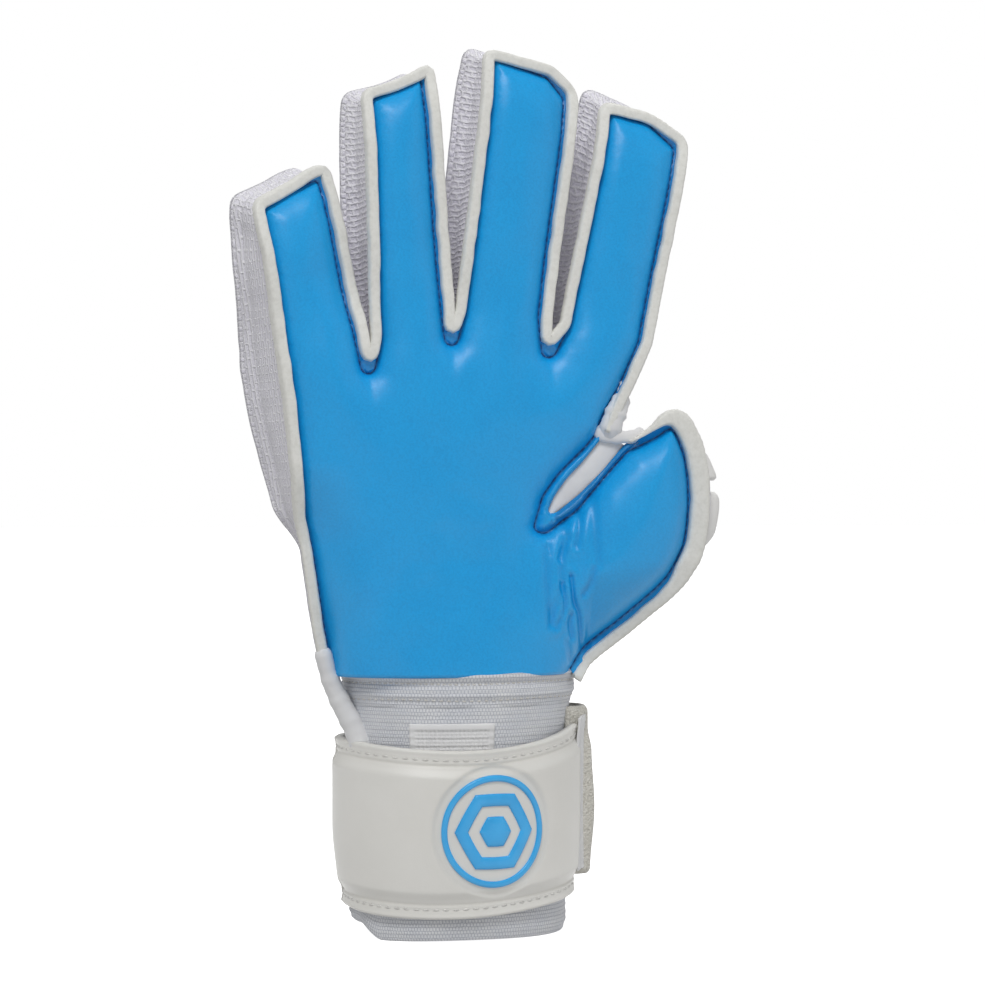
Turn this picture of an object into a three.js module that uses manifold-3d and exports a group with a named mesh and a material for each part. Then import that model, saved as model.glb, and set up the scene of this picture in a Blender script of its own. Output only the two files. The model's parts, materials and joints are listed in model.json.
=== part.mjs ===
// A goalkeeper's glove for the right hand, standing on its cuff with the fingers up.
// Millimetres. +Z runs from the cuff to the fingertips, the palm faces -Y and the thumb is at +X.
// The latex palm, the foam back and the mesh side walls are separate panels around an open stall
// for each finger. Each finger folds at two hinges, the thumb at the crease beside the palm, and
// the strap's tail peels off the back of the wrist.

import * as THREE from 'three';
import * as BufferGeometryUtils from 'three/addons/utils/BufferGeometryUtils.js';
import Module from 'manifold-3d';

const wasm = await Module();
wasm.setup();

// ---- driving dimensions -------------------------------------------------------------------

const GAP = 0.3;                // between two pieces that touch
const FOAM = 4;                 // latex palm and foam back, with their backing
const MESH = 2;                 // spacer mesh side walls
const SEAM = 3.4;               // cut foam standing outside each seam
const HAND_DEPTH = 34;          // palm face to back face
const PALM_BOTTOM = 85;         // height of the palm's lower edge
const PALM_FACE = -HAND_DEPTH / 2;

const HINGE_Y = -6;             // depth of the finger hinges
const KNUCKLE_DEG = 65;         // travel of the lower hinge of each finger
const TIP_DEG = 45;             // travel of the upper hinge of each finger
const AXIS_HEIGHT = 190;        // height at which each finger's x is given

// half widths are of the latex between its seams
const FINGERS = [
  { name: 'little', x: -57.8, lean: -8.6, roll: 15, base: 11.0, end: 9.0, depth: 28,
    knuckle: 200, joint: 222, top: 246, skew: 0.42 },
  { name: 'ring', x: -25.6, lean: -3.2, roll: 8, base: 10.2, end: 9.0, depth: 30,
    knuckle: 211, joint: 238, top: 279, skew: 0.42 },
  { name: 'middle', x: 2.9, lean: 6.6, roll: 6, base: 12.2, end: 13.2, depth: 30,
    knuckle: 211, joint: 238, top: 285, skew: -0.2 },
  { name: 'index', x: 37.6, lean: 10.4, roll: 1, base: 11.8, end: 12.6, depth: 30,
    knuckle: 208, joint: 234, top: 272, skew: -0.28 },
];
const [LITTLE, RING, MIDDLE, INDEX] = FINGERS;

// the foot of each slot between two fingers
const FORKS = [
  { name: 'little_ring', left: LITTLE, right: RING, x: -39.5, z: 180 },
  { name: 'ring_middle', left: RING, right: MIDDLE, x: -11.2, z: 189 },
  { name: 'middle_index', left: MIDDLE, right: INDEX, x: 20.8, z: 186 },
];

const SLIT_FOOT = [17.4, 131];      // foot of the slit between palm and thumb
const CROTCH = [39.6, 162];         // where the slit meets the index finger's edge
const CREASE_FOOT = [28.8, PALM_BOTTOM]; // where the thumb's crease meets the palm's lower edge
const THUMB_CORNER = [45.2, 158.6]; // inner upper corner of the thumb

const WRIST_X = -6;
const WRIST_HALF_WIDTH = 35.5;
const WRIST_HALF_DEPTH = 23.5;
const CUFF_TOP = 84;
const CUFF_WALL = 2.4;
const STRAP_BOTTOM = 9.5;
const STRAP_TOP = 63.5;
const STRAP_LAYER = 2.1;            // from the cuff to the inside of the strap
const STRAP_WALL = 3.2;
const STRAP_OUT = STRAP_LAYER + STRAP_WALL;
const TAIL_START = 172;             // where the tail is sewn to the front strap, in degrees
const TAPE = 1.5;                   // hook tape and loop tape
const BADGE = { x: -0.8, z: 35.5, radius: 17 };

// ---- materials ----------------------------------------------------------------------------

const material = (color, roughness) =>
  new THREE.MeshStandardMaterial({ color, roughness, metalness: 0 });
const latexBlue = material(0x2090d4, 0.55);
const foamWhite = material(0xe9e7e1, 0.8);
const meshWhite = material(0xdad8e2, 0.9);
const strapWhite = material(0xf1efe9, 0.5);
const elasticWhite = material(0xe6e8ec, 0.9);
const tapeCream = material(0xe4dfd0, 0.95);
const badgeBlue = material(0x2f9fe0, 0.45);

// ---- solids and booleans ------------------------------------------------------------------

const radians = THREE.MathUtils.degToRad;

function solid(geometry) {
  const bare = geometry.index ? geometry.toNonIndexed() : geometry.clone();
  bare.deleteAttribute('normal');
  bare.deleteAttribute('uv');
  const merged = BufferGeometryUtils.mergeVertices(bare, 1e-5);
  const vertProperties = merged.attributes.position.array;
  const triVerts = merged.index.array;
  return new wasm.Manifold(new wasm.Mesh({ numProp: 3, vertProperties, triVerts }));
}

function geometryOf(body) {
  const cut = body.getMesh();
  const geometry = new THREE.BufferGeometry();
  geometry.setAttribute('position', new THREE.BufferAttribute(cut.vertProperties, cut.numProp));
  geometry.setIndex(new THREE.BufferAttribute(cut.triVerts, 1));
  geometry.computeVertexNormals();
  return geometry;
}

function node(name, body, skin) {
  const mesh = new THREE.Mesh(geometryOf(body), skin);
  mesh.name = name;
  return mesh;
}

// an outline given as [x, z] points becomes a slab between two depths
function slab(points, fromY, toY) {
  const isShape = points instanceof THREE.Shape;
  const shape = isShape ? points : new THREE.Shape(points.map(([x, z]) => new THREE.Vector2(x, z)));
  const options = { depth: toY - fromY, bevelEnabled: false, curveSegments: 10 };
  const geometry = new THREE.ExtrudeGeometry(shape, options);
  geometry.rotateX(Math.PI / 2);
  geometry.translate(0, toY, 0);
  return solid(geometry);
}

// an outline given as [y, z] points becomes a prism along X
function prismX(points, fromX, toX) {
  const shape = new THREE.Shape(points.map(([y, z]) => new THREE.Vector2(y, z)));
  const geometry = new THREE.ExtrudeGeometry(shape, { depth: toX - fromX, bevelEnabled: false });
  geometry.applyMatrix4(new THREE.Matrix4().makeBasis(
    new THREE.Vector3(0, 1, 0), new THREE.Vector3(0, 0, 1), new THREE.Vector3(1, 0, 0)));
  geometry.translate(fromX, 0, 0);
  return solid(geometry);
}

// the polyline moved sideways, to its right for a positive distance
function offsetLine(points, distance) {
  return points.map(([x, z], i) => {
    const before = points[Math.max(i - 1, 0)];
    const after = points[Math.min(i + 1, points.length - 1)];
    const into = new THREE.Vector2(x - before[0], z - before[1]);
    const out = new THREE.Vector2(after[0] - x, after[1] - z);
    if (i === 0) into.copy(out);
    if (i === points.length - 1) out.copy(into);
    const normalIn = new THREE.Vector2(into.y, -into.x).normalize();
    const normalOut = new THREE.Vector2(out.y, -out.x).normalize();
    const middle = normalIn.clone().add(normalOut).normalize();
    const reach = distance / middle.dot(normalIn);
    return [x + middle.x * reach, z + middle.y * reach];
  });
}

// a wall of even thickness whose outer side follows the polyline
function wall(points, from, to, fromY, toY) {
  const outer = offsetLine(points, from);
  const inner = offsetLine(points, to).reverse();
  return slab([...outer, ...inner], fromY, toY);
}

const INSIDE = [PALM_FACE + FOAM + GAP, -PALM_FACE - FOAM - GAP];

// ---- finger frames and hinge zones --------------------------------------------------------

function fingerMatrix(finger) {
  const place = new THREE.Matrix4().makeTranslation(finger.x, 0, AXIS_HEIGHT);
  const lean = new THREE.Matrix4().makeRotationY(radians(finger.lean));
  const roll = new THREE.Matrix4().makeRotationZ(radians(finger.roll));
  return place.multiply(lean).multiply(roll);
}

const fingerLength = (finger) => (finger.top - AXIS_HEIGHT) / Math.cos(radians(finger.lean));

// x of a finger's palm centre line at a height, for the flat stubs on the hand
function centreX(finger, z) {
  const palmShift = (finger.depth / 2) * Math.sin(radians(finger.roll));
  return finger.x + palmShift + (z - AXIS_HEIGHT) * Math.tan(radians(finger.lean));
}

// the space under, inside or over the fold of a hinge: the fold is a wedge open to the palm
function zone(finger, height, travel, part) {
  const far = 60;
  const spread = (far + HINGE_Y) * Math.tan(radians(travel / 2));
  const half = GAP / 2;
  const floor = height - half;
  const roof = height + half;
  const outlines = {
    under: [[-far, 40], [far, 40], [far, floor], [HINGE_Y, floor], [-far, floor - spread]],
    fold: [[HINGE_Y - 1, height], [-far, height + spread - half], [-far, height - spread + half]],
    over: [[-far, 340], [-far, roof + spread], [HINGE_Y, roof], [far, roof], [far, 340]],
  };
  return prismX(outlines[part], finger.x - 45, finger.x + 45);
}

const knuckleZone = (finger, part) => zone(finger, finger.knuckle, KNUCKLE_DEG, part);
const jointZone = (finger, part) => zone(finger, finger.joint, TIP_DEG, part);

// ---- finger panels, in the finger's own frame ---------------------------------------------

const FINGER_FOOT = -16;

// the corners of a finger from its left foot over the tip to its right foot
function fingerCorners(finger, extra) {
  const length = fingerLength(finger);
  const base = finger.base + extra;
  const end = finger.end + extra;
  const rise = Math.abs(finger.skew) * end;
  const tip = length - rise + extra - SEAM;
  const chamfer = 4;
  const side = Math.sign(finger.skew);
  const slope = finger.skew * (end - chamfer);
  return [
    [-base, FINGER_FOOT],
    [-end, tip - slope - chamfer * (side < 0 ? 0.4 : 1)],
    [-end + chamfer, tip - slope],
    [end - chamfer, tip + slope],
    [end, tip + slope - chamfer * (side > 0 ? 0.4 : 1)],
    [base, FINGER_FOOT],
  ];
}

function placed(finger, body) {
  const m = fingerMatrix(finger).elements;
  return body.transform([...m]);
}

function fingerPlate(finger, fromY, toY) {
  return placed(finger, slab(fingerCorners(finger, SEAM), fromY, toY));
}

function fingerSolids(finger) {
  const half = finger.depth / 2;
  const inside = [-half + FOAM + GAP, half - FOAM - GAP];
  const corners = fingerCorners(finger, 0);
  const [footLeft, upperLeft] = corners;
  const [upperRight, footRight] = corners.slice(-2);
  const walls = (fromY, toY, line) => placed(finger, wall(line, 0, MESH, fromY, toY));
  const palm = fingerPlate(finger, -half, -half + FOAM);
  const left = walls(...inside, [footLeft, upperLeft]);
  const right = walls(...inside, [upperRight, footRight]);
  const touching = [-half + FOAM - 1, inside[1]];
  return {
    palm,
    back: fingerPlate(finger, half - FOAM, half),
    left,
    right,
    cap: walls(...inside, corners),
    channel: palm
      .add(walls(...touching, [footLeft, upperLeft]))
      .add(walls(...touching, [upperRight, footRight])),
  };
}

function fingerNodes(finger) {
  const { name } = finger;
  const parts = fingerSolids(finger);
  const between = knuckleZone(finger, 'over').intersect(jointZone(finger, 'under'));
  const over = jointZone(finger, 'over');
  return [
    node(`${name}_knuckle_fold`, parts.channel.intersect(knuckleZone(finger, 'fold')), latexBlue),
    node(`${name}_palm_latex_mid`, parts.palm.intersect(between), latexBlue),
    node(`${name}_back_foam_mid`, parts.back.intersect(between), foamWhite),
    node(`${name}_gusset_ulnar_side`, parts.left.intersect(between), meshWhite),
    node(`${name}_gusset_thumb_side`, parts.right.intersect(between), meshWhite),
    node(`${name}_joint_fold`, parts.channel.intersect(jointZone(finger, 'fold')), latexBlue),
    node(`${name}_palm_latex_tip`, parts.palm.intersect(over), latexBlue),
    node(`${name}_back_foam_tip`, parts.back.intersect(over), foamWhite),
    node(`${name}_gusset_tip`, parts.cap.intersect(over), meshWhite),
  ];
}

// ---- the hand: palm, back and side walls --------------------------------------------------

const STUB_TOP = 8;             // how far a stub may stand above its fork, before its hinge cuts it

// the hand's ulnar edge, from the palm's lower corner to the root of the little finger
const ULNAR_EDGE = [[-48.1, PALM_BOTTOM], [-52.7, 110], [-58.2, 142], [-61.5, 172]];

const stubEdge = (finger, side, z, extra) => [centreX(finger, z) + side * (finger.base + extra), z];
const stubTop = (finger) => finger.knuckle + STUB_TOP;

function handOutline(extra) {
  const left = offsetLine([...ULNAR_EDGE, stubEdge(LITTLE, -1, AXIS_HEIGHT, 0)], -extra);
  left[0][1] = PALM_BOTTOM;
  const outline = [...left.slice(0, -1)];
  FINGERS.forEach((finger, i) => {
    outline.push(stubEdge(finger, -1, stubTop(finger), extra));
    outline.push(stubEdge(finger, 1, stubTop(finger), extra));
    if (i < FORKS.length) outline.push([FORKS[i].x, FORKS[i].z]);
  });
  outline.push([CROTCH[0] + 4.6 + extra, CROTCH[1] + 14]);
  outline.push(CROTCH, SLIT_FOOT, CREASE_FOOT);
  return outline;
}

// cuts the top of each stub back to its own hinge
function trimmedToHinges(body) {
  const lanes = [-200, ...FORKS.map((fork) => fork.x), 200];
  return FINGERS.reduce((rest, finger, i) => rest.subtract(overStub(finger, lanes[i], lanes[i + 1])), body);
}

function overStub(finger, fromX, toX) {
  const far = 60;
  const spread = (far + HINGE_Y) * Math.tan(radians(KNUCKLE_DEG / 2));
  const top = finger.knuckle - GAP / 2;
  return prismX([[-far, 340], [-far, top - spread], [HINGE_Y, top], [far, top], [far, 340]], fromX, toX);
}

const handPlate = (fromY, toY) => trimmedToHinges(slab(handOutline(SEAM), fromY, toY));

function forkGusset(fork) {
  const leftTop = stubEdge(fork.left, 1, stubTop(fork.left), 0);
  const rightTop = stubEdge(fork.right, -1, stubTop(fork.right), 0);
  const foot = [[fork.x - 2.2, fork.z - 1], [fork.x + 2.2, fork.z - 1]];
  const line = [leftTop, ...foot, rightTop];
  return trimmedToHinges(wall(line, 0, MESH, ...INSIDE));
}

function ulnarGusset() {
  const line = [...ULNAR_EDGE, stubEdge(LITTLE, -1, stubTop(LITTLE), 0)];
  return trimmedToHinges(wall(line, 0, MESH, ...INSIDE));
}

function radialGusset() {
  const knee = [CROTCH[0] + 4.6, CROTCH[1] + 14];
  const line = [stubEdge(INDEX, 1, stubTop(INDEX), 0), knee, CROTCH, SLIT_FOOT];
  return trimmedToHinges(wall(line, 0.6, 0.6 + MESH, ...INSIDE));
}

// the white web that closes the slit, set back from the palm
function thumbWeb() {
  const foot = [SLIT_FOOT[0] + 3.2, SLIT_FOOT[1] + 3.0];
  const outline = [foot, [CROTCH[0] + 0.6, CROTCH[1] - 0.6], [THUMB_CORNER[0] - 1.2, THUMB_CORNER[1] + 0.6]];
  return slab(outline, 3, 5);
}

function handNodes() {
  return [
    node('palm_latex', handPlate(PALM_FACE, PALM_FACE + FOAM), latexBlue),
    node('back_foam', handPlate(-PALM_FACE - FOAM, -PALM_FACE), foamWhite),
    node('ulnar_gusset', ulnarGusset(), meshWhite),
    ...FORKS.map((fork) => node(`fork_gusset_${fork.name}`, forkGusset(fork), meshWhite)),
    node('radial_gusset', radialGusset(), meshWhite),
    node('thumb_web', thumbWeb(), foamWhite),
    node('back_pad', backPad(), foamWhite),
  ];
}

// the raised padding on the back of the hand
function backPad() {
  const outline = [[-50, 120], [-54, 165], [40, 165], [33, 150], [12, 128], [12, 120]];
  return slab(outline, -PALM_FACE + GAP, -PALM_FACE + GAP + 3);
}

// ---- the thumb ----------------------------------------------------------------------------

const CREASE_GAP = 0.3;

function thumbShape() {
  const shape = new THREE.Shape();
  const [footX, footZ] = CREASE_FOOT;
  shape.moveTo(footX + CREASE_GAP, footZ);
  shape.lineTo(SLIT_FOOT[0] + CREASE_GAP + 1, SLIT_FOOT[1] + 0.4);
  shape.lineTo(THUMB_CORNER[0], THUMB_CORNER[1]);
  shape.lineTo(60.5, 166.6);
  shape.bezierCurveTo(66, 173, 72, 168, 75, 160);
  shape.bezierCurveTo(78.5, 150, 77.5, 136, 71.7, 122);
  shape.bezierCurveTo(66, 110, 52, 100, 35.5, footZ);
  shape.lineTo(footX + CREASE_GAP, footZ);
  return shape;
}

// the outer contour of the thumb, from its inner corner over the tip to its foot
function thumbRim() {
  const points = thumbShape().getPoints(8).map((p) => [p.x, p.y]);
  const start = points.findIndex(([x]) => Math.abs(x - THUMB_CORNER[0]) < 1e-6);
  return points.slice(start, -1);
}

function thumbOuterGusset() {
  return wall(thumbRim(), SEAM, SEAM + MESH, ...INSIDE);
}

function thumbSlitGusset() {
  const line = [[SLIT_FOOT[0] + 1.4, SLIT_FOOT[1]], [THUMB_CORNER[0] - 3.4, THUMB_CORNER[1] - 4.2]];
  return wall(line, 0.2, 0.2 + MESH, ...INSIDE);
}

// raised blocks along the outside of the thumb's back
function thumbPad() {
  const outline = [[62, 156], [68, 160], [71, 150], [72, 138], [67, 124], [56, 112], [50, 118], [58, 140]];
  return slab(outline, -PALM_FACE + GAP, -PALM_FACE + GAP + 3);
}

function thumbNodes() {
  return [
    node('thumb_palm_latex', slab(thumbShape(), PALM_FACE, PALM_FACE + FOAM), latexBlue),
    node('thumb_back_foam', slab(thumbShape(), -PALM_FACE - FOAM, -PALM_FACE), foamWhite),
    node('thumb_outer_gusset', thumbOuterGusset(), meshWhite),
    node('thumb_slit_gusset', thumbSlitGusset(), foamWhite),
    node('thumb_back_pad', thumbPad(), foamWhite),
  ];
}

// ---- the wrist: cuff, strap and fastening -------------------------------------------------

const RING_STEPS = 32;

// a point on the wrist's oval, moved out by a distance; 0 degrees is +X and -90 is the palm side
function ovalPoint(degrees, out) {
  const turn = radians(degrees);
  const x = WRIST_X + (WRIST_HALF_WIDTH + out) * Math.cos(turn);
  return new THREE.Vector2(x, (WRIST_HALF_DEPTH + out) * Math.sin(turn));
}

function upright(shape, fromZ, toZ) {
  const options = { depth: toZ - fromZ, bevelEnabled: false, curveSegments: 1 };
  const geometry = new THREE.ExtrudeGeometry(shape, options);
  geometry.translate(0, 0, fromZ);
  return solid(geometry);
}

function ovalTube(inner, outer, fromZ, toZ) {
  const turn = Array.from({ length: RING_STEPS }, (_, i) => (i * 360) / RING_STEPS);
  const shape = new THREE.Shape(turn.map((a) => ovalPoint(a, outer)));
  shape.holes.push(new THREE.Path(turn.map((a) => ovalPoint(a, inner)).reverse()));
  return upright(shape, fromZ, toZ);
}

// a stretch of band around the wrist between two angles
function ovalBand(inner, outer, fromDeg, toDeg, fromZ, toZ) {
  const steps = Math.ceil(Math.abs(toDeg - fromDeg) / 11);
  const turn = Array.from({ length: steps + 1 }, (_, i) => fromDeg + ((toDeg - fromDeg) * i) / steps);
  const outside = turn.map((a) => ovalPoint(a, outer));
  const inside = turn.map((a) => ovalPoint(a, inner)).reverse();
  return upright(new THREE.Shape([...outside, ...inside]), fromZ, toZ);
}

function badge() {
  const disc = new THREE.CylinderGeometry(BADGE.radius, BADGE.radius, 12, 28);
  disc.translate(BADGE.x, -WRIST_HALF_DEPTH - STRAP_OUT, BADGE.z);
  const skin = ovalBand(STRAP_OUT + GAP, STRAP_OUT + GAP + 1, -150, -30, STRAP_BOTTOM, STRAP_TOP);
  return solid(disc).intersect(skin);
}

// the bound edge that runs from the palm's ulnar corner down under the strap
function notchBinding() {
  const top = new THREE.Vector3(-49.5, -2, CUFF_TOP);
  const foot = new THREE.Vector3(-46.2, -2, STRAP_TOP + 1);
  const route = new THREE.LineCurve3(top, foot);
  const section = new THREE.Shape().absarc(0, 0, 3.2, 0, Math.PI * 2);
  const options = { extrudePath: route, steps: 1, curveSegments: 6 };
  return solid(new THREE.ExtrudeGeometry(section, options));
}

// a stretch of strap between two angles and two distances from the cuff
function strapBand(inner, outer, fromDeg, toDeg, margin = 0) {
  return ovalBand(inner, outer, fromDeg, toDeg, STRAP_BOTTOM + margin, STRAP_TOP - margin);
}

function wristNodes() {
  const hookPatch = ovalBand(GAP, GAP + 1.2, -123, -79, STRAP_TOP + 1, STRAP_TOP + 6);
  const anchorTape = ovalBand(GAP, GAP + TAPE, -28, 20, STRAP_BOTTOM + 10, STRAP_TOP + 8 - GAP);
  return [
    node('elastic_cuff', ovalTube(-CUFF_WALL, 0, 0, CUFF_TOP), elasticWhite),
    node('cuff_top_binding', ovalTube(GAP, GAP + 1.4, STRAP_TOP + 8, CUFF_TOP), elasticWhite),
    node('notch_binding', notchBinding(), strapWhite),
    node('hook_patch', hookPatch, tapeCream),
    node('strap_front', strapBand(STRAP_LAYER, STRAP_OUT, -TAIL_START - 8, -14), strapWhite),
    node('strap_badge', badge(), badgeBlue),
    node('strap_anchor_tape', anchorTape, tapeCream),
    node('strap_loop_panel', strapBand(GAP, GAP + TAPE, 28, 150), tapeCream),
  ];
}

function tailNodes() {
  const clear = TAPE + GAP;         // the tail passes over its hook tape
  return [
    node('strap_tail', strapBand(STRAP_LAYER + clear, STRAP_OUT + clear, 24, TAIL_START), strapWhite),
    node('strap_hook_tape', strapBand(STRAP_LAYER, STRAP_LAYER + TAPE, 32, 110, 4), tapeCream),
  ];
}

// ---- the whole glove, standing on the rim of its cuff -------------------------------------

const glove = new THREE.Group();
glove.add(...handNodes(), ...FINGERS.flatMap(fingerNodes), ...thumbNodes(), ...wristNodes(), ...tailNodes());

const box = new THREE.Box3().setFromObject(glove);
const middle = box.getCenter(new THREE.Vector3());
glove.position.set(-middle.x, -middle.y, -box.min.z);
glove.updateMatrixWorld(true);

export default glove;
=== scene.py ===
"""Looks of a right-hand goalkeeper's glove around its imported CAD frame: latex palm, mesh side walls,
cut foam edges, foam back, elastic cuff and wrist strap. Shapes are worked out in the frame's own
millimetres and turned into metres when a piece is made."""

import json
import math

import bmesh
import bpy
import numpy as np
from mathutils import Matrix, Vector, geometry, noise


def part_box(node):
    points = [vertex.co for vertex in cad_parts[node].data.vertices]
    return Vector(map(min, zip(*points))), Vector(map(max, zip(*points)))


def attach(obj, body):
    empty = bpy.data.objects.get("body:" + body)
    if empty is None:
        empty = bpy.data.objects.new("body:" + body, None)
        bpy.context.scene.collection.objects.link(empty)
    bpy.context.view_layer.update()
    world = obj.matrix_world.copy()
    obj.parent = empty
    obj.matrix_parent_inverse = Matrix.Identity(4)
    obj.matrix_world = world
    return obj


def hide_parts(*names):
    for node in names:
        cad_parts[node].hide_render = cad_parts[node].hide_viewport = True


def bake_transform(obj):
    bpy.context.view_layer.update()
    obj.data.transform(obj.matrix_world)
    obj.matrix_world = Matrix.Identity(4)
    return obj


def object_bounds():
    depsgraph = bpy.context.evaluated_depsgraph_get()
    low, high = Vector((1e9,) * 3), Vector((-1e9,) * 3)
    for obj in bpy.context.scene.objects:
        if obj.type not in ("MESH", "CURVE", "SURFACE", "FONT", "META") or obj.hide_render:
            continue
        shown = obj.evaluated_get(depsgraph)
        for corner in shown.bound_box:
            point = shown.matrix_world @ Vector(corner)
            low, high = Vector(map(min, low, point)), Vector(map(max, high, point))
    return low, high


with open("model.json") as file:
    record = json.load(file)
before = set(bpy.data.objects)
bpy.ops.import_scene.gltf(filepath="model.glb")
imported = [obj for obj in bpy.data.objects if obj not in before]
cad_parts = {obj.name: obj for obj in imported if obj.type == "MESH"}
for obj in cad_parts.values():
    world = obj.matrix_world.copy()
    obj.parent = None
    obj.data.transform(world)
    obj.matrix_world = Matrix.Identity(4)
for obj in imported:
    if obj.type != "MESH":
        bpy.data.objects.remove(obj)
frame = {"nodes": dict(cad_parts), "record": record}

CAD_BOX = [list(corner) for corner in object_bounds()]

# ---- where the frame stands -------------------------------------------------------------------

WRIST_X = -6.0
WRIST_HALF_WIDTH = 35.5
WRIST_HALF_DEPTH = 23.5
CUFF_LOW, CUFF_HIGH = (Vector(corner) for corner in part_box("elastic_cuff"))
ORIGIN = np.array([
    (CUFF_LOW.x + CUFF_HIGH.x) / 2 - WRIST_X / 1000,
    (CUFF_LOW.y + CUFF_HIGH.y) / 2,
    CUFF_LOW.z,
])


def metres(points):
    """Points in the design's millimetres, as points of the frame."""
    return np.asarray(points, float) / 1000 + ORIGIN


def smooth(t):
    """A soft step from 0 to 1."""
    t = np.clip(t, 0.0, 1.0)
    return t * t * (3 - 2 * t)


def mix(a, b, t):
    """The value a share t of the way from a to b."""
    return a + (b - a) * t


def bell(x, at, width):
    """A smooth bump of height 1 at a place, falling off over about the width."""
    return np.exp(-((x - at) / width) ** 2)


def run_of(path):
    """Length along the path up to each of its points."""
    return np.concatenate([[0], np.cumsum(np.linalg.norm(np.diff(path, axis=0), axis=1))])


# ---- camera, light and floor ------------------------------------------------------------------

def make_camera():
    """The camera, at the photograph's viewing angle."""
    data = bpy.data.cameras.new("camera")
    camera = bpy.data.objects.new("camera", data)
    bpy.context.scene.collection.objects.link(camera)
    azimuth = math.radians(-12)
    distance = 0.80
    aim = Vector(metres([5.4, 0, 142.4]))
    away = Vector((math.sin(azimuth), -math.cos(azimuth), 0.0))
    camera.location = aim + away * distance
    camera.rotation_euler = (math.radians(90), 0, azimuth)
    data.lens = 89.5
    data.sensor_width = 36
    data.clip_start = 0.05
    data.clip_end = 30
    bpy.context.scene.camera = camera
    bpy.context.scene.view_settings.view_transform = "Standard"


def make_light(name, place, size, power, aim=(0, 0, 0.15)):
    data = bpy.data.lights.new(name, "AREA")
    data.shape = "RECTANGLE"
    data.size, data.size_y = size
    data.energy = power
    light = bpy.data.objects.new(name, data)
    bpy.context.scene.collection.objects.link(light)
    light.location = place
    light.rotation_euler = (Vector(place) - Vector(aim)).to_track_quat("Z", "Y").to_euler()


def make_studio():
    """A white surround that lights the object softly, and three large lamps."""
    world = bpy.data.worlds.new("studio")
    bpy.context.scene.world = world
    world.use_nodes = True
    tree = world.node_tree
    background = tree.nodes["Background"]
    background.inputs["Color"].default_value = (1, 1, 1, 1)
    background.inputs["Strength"].default_value = 0.46
    white = tree.nodes.new("ShaderNodeBackground")
    white.inputs["Color"].default_value = (1, 1, 1, 1)
    white.inputs["Strength"].default_value = 1.0
    seen = tree.nodes.new("ShaderNodeLightPath")
    choose = tree.nodes.new("ShaderNodeMixShader")
    tree.links.new(seen.outputs["Is Camera Ray"], choose.inputs[0])
    tree.links.new(background.outputs[0], choose.inputs[1])
    tree.links.new(white.outputs[0], choose.inputs[2])
    tree.links.new(choose.outputs[0], tree.nodes["World Output"].inputs["Surface"])
    make_light("key", (-0.32, -0.90, 1.25), (0.5, 0.5), 8.6)
    make_light("fill", (1.1, -0.9, 0.7), (0.9, 1.2), 1.8)
    make_light("rim", (0.5, 1.0, 1.3), (0.8, 0.8), 6.0)


def make_floor():
    """A plain pale floor under the glove, as bright as the surround, that adds no light of its own."""
    mesh = bpy.data.meshes.new("floor")
    side = 9.0
    low = CAD_BOX[0][2]
    corners = [(-side, -side, low), (side, -side, low), (side, side, low), (-side, side, low)]
    mesh.from_pydata(corners, [], [(0, 1, 2, 3)])
    floor = bpy.data.objects.new("floor", mesh)
    bpy.context.scene.collection.objects.link(floor)
    mesh.materials.append(floor_material())
    floor.visible_diffuse = False


# ---- material helpers -------------------------------------------------------------------------

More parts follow.
